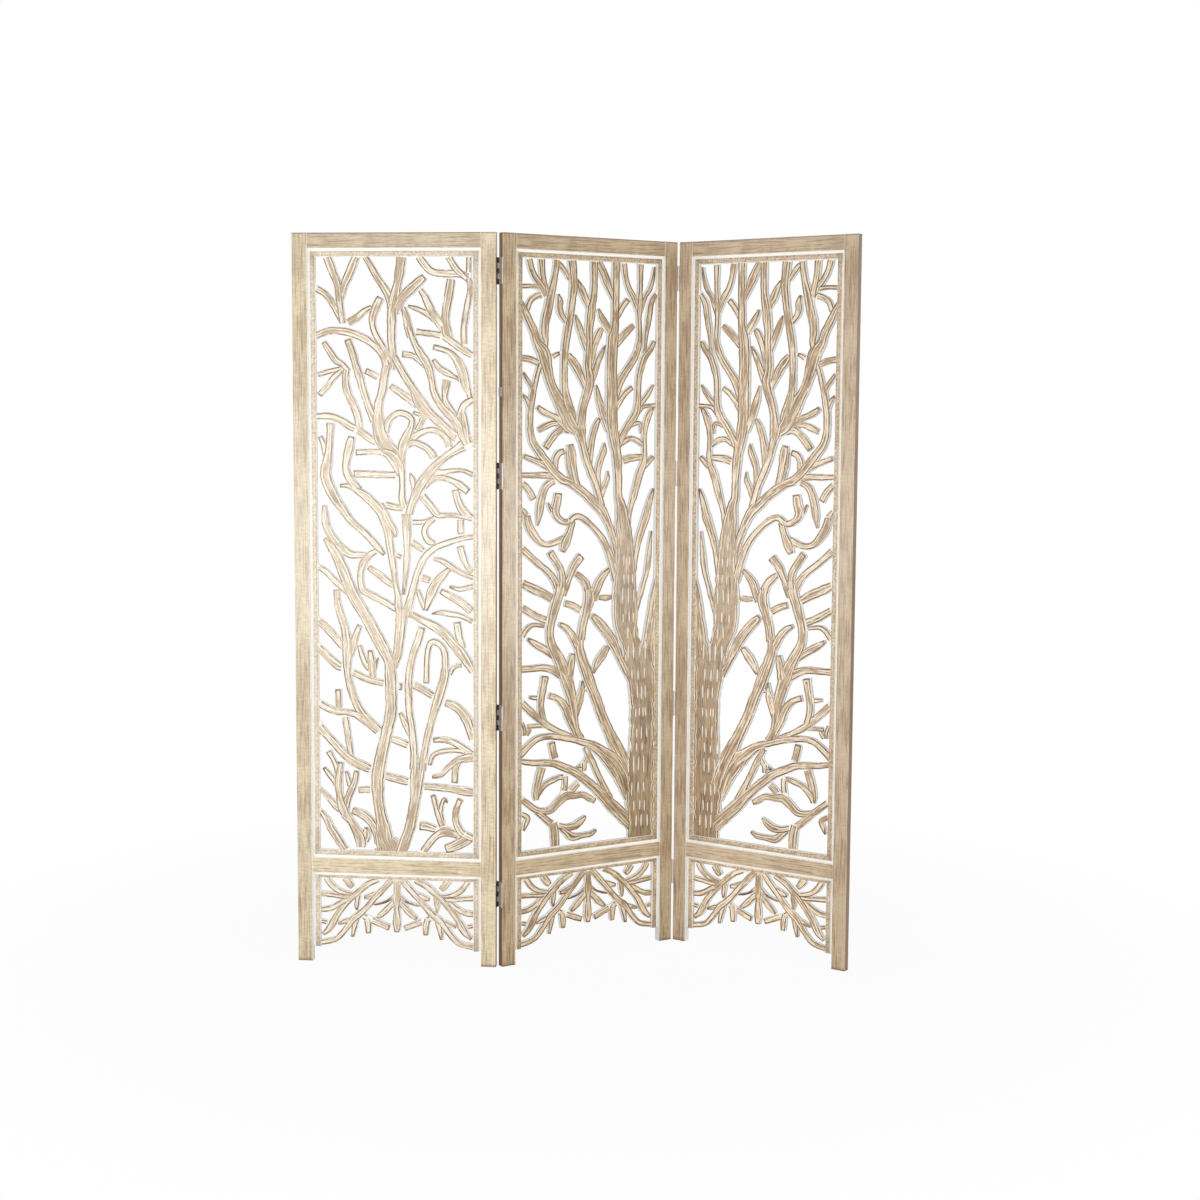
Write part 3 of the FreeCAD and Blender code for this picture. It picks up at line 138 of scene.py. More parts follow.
# Left panel: a leaning tree with two stems
left_tree_shares = (
    (444,-6,184, 440,8,176, 421,17,130, 416,28,112, 412,42,100, 398,62,75, 384,85,73, 378,108,83,
     380,130,87, 401,162,83, 434,200,77, 467,240,79, 468,280,77, 465,305,79, 458,325,69, 430,342,77,
     393,360,83, 310,400,79, 222,440,79, 160,480,79, 128,500,69, 88,518,59, 45,532,27),
    (486,316,53, 512,340,63, 524,365,69, 532,385,71, 538,402,79, 545,416,83),
    (524,404,53, 517,424,51, 516,438,45, 504,452,39, 490,480,45, 478,502,51, 464,525,55, 455,545,61,
     432,562,61, 400,580,61, 320,602,61, 240,616,45, 200,621,37, 150,621,27),
    (526,-6,77, 556,18,75, 586,40,71, 602,60,73, 616,80,71, 627,100,75, 632,120,93, 640,142,98),
    (612,142,58, 617,165,53, 611,190,53, 601,218,49, 587,240,51, 583,265,53, 583,295,53, 596,320,53,
     614,340,51, 642,360,55, 668,383,51),
    (668,140,53, 676,160,51, 690,180,49, 705,200,53, 724,220,51, 745,240,55, 770,260,65, 792,280,67,
     815,302,63, 820,325,49, 818,340,48, 800,352,45, 765,359,43, 735,360,43, 712,350,41, 702,330,39,
     700,310,39, 698,291,43),
    (605,406,45, 660,398,47, 700,393,51, 760,385,63, 820,373,63, 870,358,65, 920,343,73, 960,328,63,
     1018,302,39),
    (897,393,53, 910,370,53, 930,350,53),
    (850,306,33, 880,319,37, 950,322,27),
    (735,408,12, 790,410,37, 850,408,43, 930,404,37, 1018,392,33),
    (795,446,39, 860,437,51, 920,428,55, 985,414,53),
    (695,413,27, 715,430,53, 735,445,69, 770,462,63, 825,478,47, 850,484,33),
    (645,448,29, 660,435,37, 692,414,33),
    (566,402,59, 588,424,59, 604,440,53, 625,460,50, 648,480,50, 690,503,49, 760,519,45, 842,528,45,
     930,535,39, 1018,539,35),
    (755,527,33, 722,529,49, 695,538,45, 690,550,43, 720,562,43, 770,571,37),
    (600,561,39, 680,562,37, 740,567,39, 800,573,39, 900,573,35, 1018,566,33),
    (920,566,47, 921,544,47),
    (918,521,51, 935,505,51, 965,487,41, 1018,473,37),
    (750,500,27, 800,497,39, 850,489,45, 920,478,39, 1018,468,33),
    (640,472,47, 715,464,47),
    (590,531,43, 650,520,47, 690,512,29),
    (850,454,22, 920,450,37, 1018,457,41),
    (552,440,22, 563,465,35, 572,490,45, 577,520,49, 574,550,61, 571,575,65),
    (505,536,16, 495,546,43, 465,560,47, 435,575,47, 405,592,43),
    (222,702,47, 208,685,63, 190,665,53, 185,650,51, 198,638,53, 225,627,53, 270,614,53),
    (88,724,55, 84,705,47, 78,685,49, 68,665,63, 55,648,75, 55,636,77, 75,620,75, 110,602,69, 166,580,57,
     225,560,49, 313,540,47, 384,520,47, 428,507,27),
    (22,702,37, 45,688,43, 62,668,53),
    (400,513,27, 360,510,43, 320,502,49, 290,490,53, 275,475,47, 275,460,47, 290,446,51, 340,438,49,
     394,431,49, 450,423,47, 515,412,39),
    (330,484,39, 390,473,49, 440,463,49, 497,452,33),
    (490,508,33, 525,504,33, 560,500,27),
    (-18,487,43, 50,476,41, 100,463,45, 150,450,43, 190,440,33),
    (45,587,33, 48,567,53, 60,551,55, 95,533,59, 150,517,59, 210,506,53, 270,505,45, 310,505,39),
    (117,445,39, 127,420,49, 148,400,53, 171,380,55, 185,355,69, 186,335,67, 184,315,53, 190,298,47,
     206,280,55, 230,260,55, 268,240,57, 310,226,63, 350,215,69, 385,207,63),
    (-18,254,53, 60,243,47, 120,238,47, 190,237,43, 250,233,53, 320,220,63),
    (125,275,45, 128,245,45),
    (166,236,43, 185,200,47, 208,158,41),
    (-18,216,63, 50,197,55, 110,180,55, 160,166,59, 220,153,63, 290,145,63, 340,139,53),
    (60,169,43, 95,152,37, 112,138,39, 122,118,39),
    (165,62,69, 140,78,63, 128,98,51, 122,118,55, 130,135,47, 137,150,43),
    (165,70,59, 180,88,53, 205,104,53, 228,118,47, 240,136,37),
    (174,135,29, 190,118,37, 207,102,37),
    (160,62,63, 200,50,53, 232,36,59, 262,20,79, 266,5,59),
    (268,8,53, 290,18,63, 302,28,63, 300,39,29),
    (-18,110,27, 60,88,39, 100,76,47, 150,66,53),
    (-18,72,20, 42,52,47, 68,37,53, 108,21,57, 177,-6,53),
    (28,141,27, 60,130,39, 95,118,39, 125,104,43),
    (215,68,47, 260,64,57, 305,57,59, 345,45,59, 375,28,63, 385,12,63),
    (258,104,45, 300,105,47, 350,105,43),
    (420,130,53, 500,125,55, 580,120,51, 610,119,47),
    (658,45,59, 700,44,57, 750,40,47, 790,36,43),
    (657,-6,49, 715,16,53, 760,29,53, 815,36,69, 870,33,53, 900,30,53),
    (825,7,59, 880,12,73, 930,19,73, 985,26,59),
    (740,98,37, 760,75,39, 785,55,43, 812,38,53),
    (832,86,14, 812,92,33, 795,82,35, 788,68,37, 805,46,41),
    (915,92,43, 890,75,45, 885,60,49, 900,45,53, 935,33,53, 1018,24,43),
    (680,113,49, 760,112,49, 850,110,49, 930,107,59, 1018,104,59),
    (738,130,27, 790,134,37, 840,147,45, 890,158,49, 940,163,59, 1018,167,73),
    (880,122,47, 885,145,49, 905,160,53),
    (745,193,39, 800,194,41, 860,191,45, 920,183,49, 1018,165,53),
    (718,151,31, 738,166,37, 785,173,37, 850,176,37, 920,176,39, 985,170,43),
    (825,257,49, 880,252,59, 925,242,63, 960,228,69, 985,208,59, 1018,172,43),
    (470,193,49, 520,189,49, 605,180,47),
    (528,238,29, 560,220,47, 590,203,43, 615,186,39),
    (490,284,53, 535,283,49),
    (610,287,49, 680,278,51, 755,266,47),
    (200,308,43, 250,302,47, 300,296,47, 350,292,47, 450,287,43),
    (-18,397,43, 50,381,53, 100,367,53, 150,352,53, 180,344,43),
    (-18,353,43, 50,334,53, 100,322,59, 140,315,59, 180,318,43),
    (266,385,39, 240,368,47, 222,350,49, 200,332,43),
    (265,351,35, 282,335,41, 305,320,45, 340,312,53),
    (335,343,37, 342,325,53, 352,298,43),
    (386,331,16, 360,312,37),
    (255,677,45, 330,678,39, 400,678,43, 450,676,63, 500,665,83, 540,640,53),
    (560,585,59, 546,600,49, 548,620,43, 545,640,45, 530,658,63, 490,676,93, 440,690,100, 410,705,96,
     398,720,87, 393,740,69, 400,760,57, 423,780,57, 434,800,57, 450,820,59, 470,830,47),
    (-18,736,43, 80,737,47, 150,731,49, 210,721,53, 260,715,53, 310,706,53, 365,696,49, 420,692,53),
    (372,730,63, 342,748,53, 322,762,51, 297,782,51, 280,800,55, 256,820,53, 235,840,53, 204,863,49),
    (275,716,49, 262,738,53, 232,758,55, 205,772,55, 190,788,53, 188,802,49, 195,817,43),
    (15,806,37, 80,811,37, 130,814,37, 190,817,39),
    (20,773,39, 70,787,41, 110,801,41, 175,815,39),
    (50,859,37, 90,843,49, 125,830,49, 170,822,43, 205,812,39),
    (-18,868,43, 80,878,49, 150,878,51, 220,875,53, 300,867,55, 360,857,49, 410,845,53, 440,830,53,
     450,815,53),
    (412,932,49, 385,918,59, 362,900,51, 366,884,43, 388,869,45, 420,855,47, 452,838,45, 470,822,47),
    (206,892,53, 260,900,51, 315,912,39, 355,917,33),
    (480,815,47, 492,830,43, 488,845,51, 482,865,57, 484,890,61, 488,915,65, 505,935,73, 522,955,57,
     536,975,65, 551,1006,65),
    (490,840,47, 532,820,49, 575,800,53, 625,780,59, 660,762,83, 715,745,69, 775,731,63, 830,718,59,
     880,706,69, 950,700,83),
    (478,787,41, 530,778,49, 585,768,53, 645,757,59),
    (622,744,27, 665,740,33, 705,737,47),
    (684,736,43, 665,725,41, 640,714,39),
    (610,700,59, 650,708,49, 700,714,43, 750,715,43, 800,709,47, 835,699,49, 846,684,49),
    (560,688,59, 620,694,47, 670,690,49, 710,684,49, 745,673,53, 762,662,43),
    (545,655,47, 545,672,47, 550,688,63, 575,703,65, 600,717,49, 612,731,43, 580,740,47, 530,743,45,
     490,738,43, 460,729,47, 440,712,53),
    (590,575,53, 605,590,53, 630,605,61, 655,620,69, 690,634,69, 730,647,63, 775,660,55, 830,672,53,
     890,682,59, 950,692,79, 1018,699,53),
    (922,740,63, 930,748,57, 950,758,51, 1018,769,43),
    (925,745,63, 930,725,89, 945,705,79, 965,692,53),
    (590,892,45, 610,872,41, 635,856,49, 665,842,57, 700,828,61, 722,815,55, 738,798,49, 750,780,49,
     775,765,53, 815,750,57, 860,738,59, 900,725,63, 930,708,69),
    (835,798,63, 825,782,51, 822,768,41, 840,756,47, 885,740,43),
    (556,840,47, 610,838,45, 660,831,47, 705,820,47),
    (750,831,29, 790,817,49, 840,809,47, 900,801,29, 915,798,31),
    (752,852,39, 810,848,41, 860,842,45, 905,828,61, 935,810,71, 955,790,61, 975,775,37, 985,766,37),
    (640,877,47, 700,875,45, 760,873,45, 820,869,51, 880,858,51, 940,847,51, 1018,835,43),
    (976,1006,37, 972,970,37, 982,948,37, 968,925,43, 952,900,47, 942,880,45, 945,852,47),
    (66,1006,65, 110,975,55, 140,955,51, 150,935,49, 158,915,45, 170,891,41),
    (267,1006,53, 215,972,59, 185,955,53, 160,932,47),
    (-18,951,47, 60,939,45, 105,924,49, 140,908,47, 165,893,39),
    (304,1006,37, 352,985,45, 395,965,49, 440,948,53, 475,930,59, 485,905,59),
    (505,908,53, 545,930,61, 590,943,65, 640,955,63, 690,966,49),
    (660,948,31, 695,935,49, 725,918,55, 755,904,53, 790,890,59, 830,878,63),
    (592,919,22, 650,914,39, 700,908,43, 750,899,47, 805,886,53),
    (558,917,37, 578,900,53, 588,885,53, 600,868,45),
    (862,963,55, 848,938,61, 832,915,59, 824,895,61, 835,878,69, 850,862,63),
    (643,1006,47, 700,985,55, 745,975,51, 820,972,51, 900,972,53, 975,968,39),
    (833,1006,49, 885,983,49, 925,972,45, 978,960,37),
    (440,590,43, 500,586,49, 550,585,47),
    (320,812,43, 360,807,47, 425,798,47),
    (600,643,14, 612,632,43, 620,618,35, 622,600,47),
    (242,641,53, 330,641,49, 420,640,49, 550,640,43),
    (730,645,59, 800,645,45, 870,648,35, 940,648,31, 1018,639,39),
    (685,622,59, 735,633,47, 800,636,41, 860,632,43, 910,625,53, 965,614,49),
    (888,615,53, 905,598,55, 930,584,63, 965,574,53, 1018,566,43),
    (650,615,63, 690,600,55, 730,588,55, 765,576,49, 800,572,39),
)

# Middle panel: a stout tree that stands at the right
middle_tree_shares = (
    (907,-6,196, 902,40,204, 897,80,214, 905,130,198, 911,180,186, 911,240,186, 903,275,202, 884,310,240,
     880,335,226),
    (845,325,140, 812,352,150, 782,375,174, 775,400,190, 770,440,182, 772,480,150, 765,520,132, 752,550,116,
     735,585,77, 716,602,57, 713,630,57, 706,660,65, 697,680,69, 676,705,81, 660,735,87, 660,780,87,
     657,820,81, 660,855,83, 668,875,79, 680,895,57, 683,920,53, 685,960,53, 687,1006,55),
    (950,322,118, 957,340,106, 976,386,74, 988,419,55, 1001,444,32, 1018,466,14),
    (-18,156,37, 80,151,43, 160,149,47, 240,146,53, 310,138,59, 400,127,63, 470,113,63, 535,99,65,
     605,82,75, 670,64,87, 740,47,93, 800,32,93, 860,14,83),
    (222,182,51, 235,165,53, 262,144,53),
    (430,362,61, 425,345,67, 445,325,73, 475,305,81, 505,284,81, 530,268,71, 560,250,73, 600,222,73,
     645,198,75, 690,175,87, 740,152,96, 800,120,100, 850,80,100),
    (-18,165,53, 60,183,47, 120,192,45, 200,194,43, 300,190,47, 390,184,47, 460,178,53, 530,171,63,
     600,158,87, 680,140,120, 750,112,110, 810,70,63),
    (475,168,39, 505,154,47, 535,140,47, 555,128,45, 590,110,45, 630,90,53, 668,72,63),
    (398,134,10, 440,137,33, 480,144,43, 500,158,27),
    (468,142,43, 466,127,37),
    (-18,94,47, 50,80,47, 100,70,47, 160,65,47, 220,66,53, 270,77,59, 330,87,63, 400,86,47, 460,86,47,
     505,79,49, 547,73,41),
    (108,86,33, 125,98,47, 175,111,43, 230,117,41, 290,121,39, 340,119,39),
    (325,121,45, 322,104,43, 308,86,53),
    (152,142,63, 122,118,55, 105,98,49, 110,86,39),
    (345,88,47, 390,100,53, 425,108,47),
    (95,70,43, 170,53,49, 220,42,53, 280,36,45, 340,32,47, 400,33,57, 450,41,47, 478,48,20),
    (235,42,63, 248,22,65, 252,-6,63),
    (285,34,33, 340,22,53, 380,14,59, 450,14,43, 520,15,39, 558,21,22),
    (-18,67,37, 45,57,43, 30,45,37, 16,35,14),
    (-18,260,53, 60,241,53, 120,227,51, 190,213,51, 260,203,43, 340,193,43, 400,185,43),
    (45,214,33, 100,214,33, 170,214,39),
    (66,210,33, 38,200,37),
    (-18,234,27, 18,212,33, 24,199,27),
    (170,297,59, 155,275,53, 142,255,51, 145,238,49, 170,216,47),
    (60,264,27, 110,262,37, 155,262,33),
    (206,264,47, 270,257,47, 320,243,59, 355,222,63, 385,205,53, 425,187,53),
    (310,306,100, 345,280,87, 372,255,75, 387,235,67, 394,215,53, 412,198,49, 450,184,47),
    (449,285,18, 446,270,43, 432,256,63, 412,238,53, 398,222,43),
    (452,278,20, 480,270,33, 520,272,43),
    (440,356,59, 448,378,59, 465,395,59, 485,412,69, 500,428,79, 492,446,69),
    (525,425,73, 550,440,63, 575,455,63, 610,467,47, 648,476,31),
    (560,428,27, 620,427,45, 668,428,33),
    (330,292,100, 290,318,87, 255,335,75, 220,352,65, 205,370,59, 215,390,59, 235,408,67, 255,425,71,
     282,446,75, 292,462,69),
    (376,333,39, 365,318,59, 355,298,59, 350,282,63),
    (-18,313,47, 80,313,47, 160,313,51, 230,308,59, 300,298,69),
    (45,364,27, 110,353,53, 170,344,53, 235,333,57),
    (-18,360,43, 35,380,41, 80,387,35, 130,386,31, 180,384,33),
    (-18,421,47, 70,407,53, 130,399,53, 200,392,53),
    (-18,462,53, 80,449,65, 150,441,63, 215,431,55, 255,424,43),
    (278,386,31, 320,380,47, 365,368,53, 400,352,59, 430,336,53),
    (322,421,49, 380,416,51, 460,404,47),
    (524,397,43, 560,388,65, 615,373,69, 665,356,73, 705,337,63, 740,318,53, 800,290,53),
    (640,341,43, 600,327,61, 562,314,53, 532,298,27),
    (858,399,37, 882,422,37, 895,430,39, 910,445,37, 935,465,39, 950,485,47, 960,510,37, 972,540,18),
    (830,465,53, 850,495,43, 868,520,53, 900,545,59, 930,565,65, 955,590,47, 968,601,39, 985,614,18),
    (760,525,63, 785,548,53, 795,562,39, 806,578,39, 822,592,45, 836,603,53, 856,621,57, 878,640,59,
     905,656,53, 915,672,43, 912,700,37, 918,718,43, 935,735,51, 960,748,39, 985,756,16),
    (890,648,47, 935,658,43, 980,669,35),
    (712,500,53, 680,530,51, 650,550,55, 620,566,61, 585,580,73, 530,592,69, 470,606,63, 400,619,63,
     340,628,59, 290,633,63, 235,645,63, 185,660,63, 130,677,59, 78,695,55, 58,715,49, 57,742,49, 66,760,49,
     78,778,45, 95,795,39, 112,812,37, 135,828,39),
    (700,455,53, 670,488,59, 635,512,53, 595,530,49, 545,545,43, 490,558,43, 430,568,47, 385,568,45,
     345,560,47, 300,561,47, 258,569,53, 243,580,63, 256,594,63, 264,608,57),
    (188,593,18, 215,580,33, 250,570,39),
    (372,562,47, 345,540,53, 320,526,73, 298,511,49),
    (35,572,53, 50,556,63, 85,541,59, 135,527,47, 190,523,43, 245,526,45, 310,532,53),
    (-18,591,20, 35,573,47),
    (112,555,14, 125,575,53, 135,592,59, 150,607,53, 175,621,51, 220,629,47, 275,633,53),
    (-18,522,53, 60,504,47, 120,491,47, 180,479,47, 230,465,53, 270,445,59),
    (208,509,53, 250,493,53, 285,478,51, 296,460,53, 285,440,63),
    (434,500,63, 385,485,59, 355,470,49, 330,455,53, 298,436,63),
    (395,472,39, 440,463,53, 475,452,59, 492,436,63),
    (-18,641,37, 80,640,43, 160,640,47, 250,638,49),
    (-18,632,41, 45,617,47, 82,601,49),
    (15,672,37, 80,666,41, 140,660,47, 210,650,53),
    (122,716,43, 170,722,47, 230,727,41, 290,724,43),
    (113,754,35, 150,747,47, 200,741,45, 250,736,49, 290,727,59, 340,718,59),
    (345,714,43, 300,718,53, 250,711,51, 210,700,53, 172,687,53),
    (420,728,93, 425,712,87, 440,695,55, 465,672,53, 500,648,53, 540,625,49, 565,605,49, 590,580,63),
    (410,712,63, 345,727,100, 310,745,100, 268,765,87, 222,785,67, 195,803,69, 172,825,87, 152,845,93,
     105,862,61, 82,880,57, 45,898,55, 15,914,47, -18,930,37),
    (360,725,83, 348,745,79, 325,765,69, 308,785,53, 304,810,49, 306,840,51, 315,862,53, 328,882,55,
     343,902,53, 357,926,53, 371,955,55, 366,980,61, 356,1006,63),
    (150,842,53, 166,862,47, 160,880,59, 166,897,63, 188,920,65, 207,943,59, 228,965,49, 242,985,45,
     250,1006,49),
    (205,834,39, 245,842,33, 295,846,20),
    (425,712,73, 436,740,61, 452,760,59, 478,780,63, 494,800,67, 480,822,57, 483,842,57, 488,865,55,
     487,885,57, 496,903,63, 503,922,63, 517,940,53, 523,960,49, 523,985,51, 524,1006,59),
    (500,795,59, 530,815,53, 555,832,49, 580,845,39, 607,859,12),
    (334,842,43, 365,832,63, 400,820,63, 430,805,53, 465,787,43),
    (543,792,14, 560,772,47, 580,755,53, 600,738,53, 640,715,53),
    (680,765,53, 715,795,63, 765,815,53, 815,833,53, 850,850,49, 868,870,41, 868,890,37, 864,908,37,
     866,925,47, 870,945,39, 873,965,35, 873,985,41, 874,1006,47),
    (864,915,43, 825,940,47, 785,957,43, 760,976,41, 745,1006,45),
    (868,915,43, 910,943,33, 945,957,35, 968,975,31, 979,995,16),
    (776,937,43, 740,926,43, 712,914,41, 680,900,41),
    (820,894,37, 775,884,53, 735,873,49, 690,860,49),
    (813,788,39, 770,780,39, 730,768,43, 690,752,47),
    (690,680,63, 735,702,55, 765,715,53, 800,728,55, 838,741,59, 858,757,53, 862,785,45, 866,805,45,
     882,822,51, 908,840,51, 935,849,47, 960,857,43, 980,868,31),
    (900,832,43, 912,858,31, 918,875,33, 930,893,43, 945,915,47, 960,935,45, 1018,958,27),
    (862,755,39, 915,770,39, 950,782,37, 980,794,14),
    (845,740,43, 890,754,37, 930,757,33, 1018,758,37),
    (790,720,27, 835,726,31, 868,728,33, 885,722,33, 880,710,12),
    (720,688,39, 770,698,39, 810,701,41, 855,698,41, 905,688,29),
    (720,660,53, 800,667,55, 905,669,43),
    (607,694,14, 602,680,47, 578,664,49, 562,650,45, 558,632,45, 570,608,47),
    (633,646,10, 633,632,35, 612,620,41, 580,600,43),
    (564,735,31, 540,722,47, 515,702,49, 500,680,55, 492,655,53),
    (350,690,51, 362,675,65, 372,655,55, 388,635,51, 415,614,49),
    (328,680,27, 335,655,27, 365,630,27),
    (302,680,41, 265,676,47, 242,665,49, 242,645,49),
    (36,915,39, 55,929,43, 95,937,43, 150,941,49, 195,940,47),
    (-18,953,33, 60,954,33, 110,953,35, 170,948,47),
    (42,1006,45, 62,985,45, 90,970,45, 135,956,49, 175,940,53),
    (137,1006,55, 142,980,45, 155,960,47, 175,940,53),
    (255,996,33, 295,985,41, 340,968,29),
    (258,942,20, 272,930,49, 268,920,53, 285,908,45, 335,892,33),
    (398,968,20, 430,952,55, 455,938,55, 492,922,47),
    (383,909,16, 405,895,45, 430,878,49, 455,862,49, 480,845,43),
    (536,1006,53, 590,982,61, 615,968,61, 640,953,45, 675,936,39),
    (556,920,20, 580,907,47, 615,894,49, 660,876,53),
    (594,890,16, 568,882,49, 540,867,49, 520,850,45, 500,825,39),
    (-18,836,43, 60,833,47, 125,826,43),
    (-18,820,20, 35,800,33, 70,787,37, 82,772,43),
    (-18,780,20, 35,765,37, 62,748,43),
)

# Aprons: a stem in the middle and a fan of branches on both sides of it
apron_stem_shares = (
    500,1010,48, 500,850,46, 500,740,62, 500,600,40, 500,450,54, 500,350,58, 500,245,36
)

apron_half_shares = (
    (470,1000,46, 400,830,46, 352,715,44, 308,600,44, 255,480,48, 215,415,52, 190,340,46, 150,225,42,
     105,120,40, 60,80,40, -18,45,36),
    (410,1010,32, 335,950,42, 285,880,46, 248,805,46, 210,735,46, 175,655,46, 138,555,44, 105,460,48,
     78,345,54, 50,250,46, 14,178,30),
    (190,705,42, 145,655,42, 97,590,42, 50,545,42, -18,528,38),
    (205,735,32, 140,730,36, 80,745,36, -18,765,40),
    (220,765,26, 165,780,34, 115,815,40, 70,890,44, 35,1000,46),
    (160,1005,52, 185,930,54, 207,878,42),
    (245,800,42, 240,690,40, 235,600,34, 238,530,14),
    (400,810,46, 340,755,48, 288,728,30),
    (500,790,42, 440,690,22, 395,650,20, 348,625,14),
    (500,700,46, 450,600,44, 415,520,48, 372,440,30),
    (262,472,42, 305,425,42, 350,385,44, 400,340,44, 447,300,42),
    (300,440,42, 310,330,48, 311,215,36),
    (232,410,48, 220,300,40, 207,155,26),
    (220,412,38, 160,370,38, 112,333,22),
    (-18,372,28, 40,343,32),
)


def shown(name, data):
    """A new object in the scene."""
    piece = bpy.data.objects.new(name, data)
    bpy.context.scene.collection.objects.link(piece)
    return piece


def sheet_of(name, shape):
    """A finished bmesh as a mesh."""
    mesh = bpy.data.meshes.new(name)
    shape.to_mesh(mesh)
    shape.free()
    return mesh


def crown(half_width, ridge):
    """The face of a branch's section: place across, height, and how much whitewash stays there."""
    shoulder = 1 - min(branch_bevel / half_width, bevel_most_share)
    lip = 1 - min(branch_bevel * lip_of_bevel_share / half_width, lip_most_share)
    places = (1.0, lip, shoulder, 0.5 * shoulder)
    face = [(u, height, wash) for u, (height, wash) in zip(places, side_heights)]
    return (
        [(-u, height, wash) for u, height, wash in face] + [(ridge, 1.0, 0.0)]
        + [(u, height, wash) for u, height, wash in reversed(face)]
    )


def on_branch(rings, crown_points, tone):
    """One carved strip: a closed section carried from ring to ring along the branch."""
    strip = bmesh.new()
    names = ("along", "across", "edge", "wash", "groove", "tone")
    layers = {name: strip.verts.layers.float.new(name) for name in names}

    def mark(verts, ring):
        for vert in verts:
            vert[layers["along"]] = ring.along
            vert[layers["groove"]] = ring.groove
            vert[layers["edge"]] = min(ring.half_width - abs(vert[layers["across"]]), ring.from_end)

    outline = list(crown_points) + [(u, -height, wash) for u, height, wash in reversed(crown_points)]
    verts = bmesh.ops.create_circle(strip, cap_ends=True, radius=1, segments=len(outline))["verts"]
    for vert, (u, height, wash) in zip(verts, outline):
        vert.co = (u, height, 0)
        vert[layers["wash"]] = wash
        vert[layers["tone"]] = tone
        vert[layers["across"]] = u * rings[0].half_width
    mark(verts, rings[0])
    bmesh.ops.transform(strip, matrix=rings[0].place, verts=verts)
    cap = strip.faces[:]
    for i in range(1, len(rings)):
        grown = bmesh.ops.extrude_face_region(strip, geom=cap)["geom"]
        if i > 1:
            bmesh.ops.delete(strip, geom=cap, context="FACES_ONLY")
        verts = [item for item in grown if isinstance(item, bmesh.types.BMVert)]
        cap = [item for item in grown if isinstance(item, bmesh.types.BMFace)]
        bmesh.ops.transform(strip, matrix=rings[i].place @ rings[i - 1].place.inverted(), verts=verts)
        growth = rings[i].half_width / rings[i - 1].half_width
        for vert in verts:
            vert[layers["across"]] *= growth
        mark(verts, rings[i])
    bmesh.ops.recalc_face_normals(strip, faces=strip.faces)
    return strip


def section_place(centre, run, half_width, half_height, skew=0.0):
    """Where a section stands: across the run, with its height to the front; skew mitres it."""
    centre, half_width, half_height, skew = [
        length * millimetre for length in (centre, half_width, half_height, skew)]
    across = Vector((run.z, 0, -run.x))
    column = across * half_width + run * skew
    return Matrix((
        (column.x, 0, run.x, centre.x),
        (column.y, -half_height, run.y, centre.y),
        (column.z, 0, run.z, centre.z),
        (0, 0, 0, 1),
    ))


def rounded_path(points):
    """A smooth path through a branch's listed points, with its width."""
    path = []
    for i in range(len(points) - 1):
        before = points[max(i - 1, 0)]
        start = points[i]
        end = points[i + 1]
        after = points[min(i + 2, len(points) - 1)]
        steps = max(2, round((end - start).xz.length / ring_step))
        for k in range(steps):
            t = k / steps
            path.append(0.5 * (
                2 * start + (end - before) * t
                + (2 * before - 5 * start + 4 * end - after) * t ** 2
                + (3 * start - before - 3 * end + after) * t ** 3
            ))
    path.append(points[-1])
    return path


def laid_out(points, foot, height, tone):
    """A branch's path in the panel, from its shares of the open field; y holds its half width."""
    hand_points = []
    for i in range(0, len(points), 3):
        x = field_left + points[i] * thousandth * field_width
        z = foot + points[i + 1] * thousandth * height
        hand_points.append(Vector((x, points[i + 2] * thousandth * field_width / 2, z)))
    path = rounded_path(hand_points)
    runs = [path[min(i + 1, len(path) - 1)] - path[max(i - 1, 0)] for i in range(len(path))]
    runs = [Vector((run.x, 0, run.z)).normalized() for run in runs]
    lengths = [0.0]
    for before, point in zip(path, path[1:]):
        lengths.append(lengths[-1] + (point - before).xz.length)
    return Branch(path, runs, lengths, sum(point.y for point in path) / len(path), tone)


def mirrored_points(points):
    """A branch's points, mirrored from side to side of the open field."""
    return [1 / thousandth - value if i % 3 == 0 else value for i, value in enumerate(points)]


def on_board(point):
    return Vector((point.x, board_middle, point.z))


def neighbours(branches):
    """Where a wider branch crosses over each branch, and whether each of its ends lies inside another."""
    samples = [(number, i) for number, branch in enumerate(branches) for i in range(len(branch.path))]
    near = kdtree.KDTree(len(samples))
    for index, (number, i) in enumerate(samples):
        near.insert(on_board(branches[number].path[i]), index)
    near.balance()
    reach = 2 * max(point.y for branch in branches for point in branch.path)
    crossed, buried = [], []
    for branch in branches:
        covers = [False] * len(branch.path)
        inside = [False] * len(branch.path)
        for i, point in enumerate(branch.path):
            for place, index, distance in near.find_range(on_board(point), reach):
                number, k = samples[index]
                other = branches[number]
                if other is branch:
                    continue
                half_width = other.path[k].y
                inside[i] = inside[i] or distance < half_width + point.y * touching
                turned = branch.runs[i].cross(other.runs[k]).length
                to_end = min(other.lengths[k], other.lengths[-1] - other.lengths[k])
                over = other.half_width > branch.half_width and to_end > half_width
                if over and turned > crossing_turn and distance < half_width + groove_reach:
                    covers[i] = True
        crossed.append(covers)
        buried.append((inside[0], inside[-1]))
    return crossed, buried


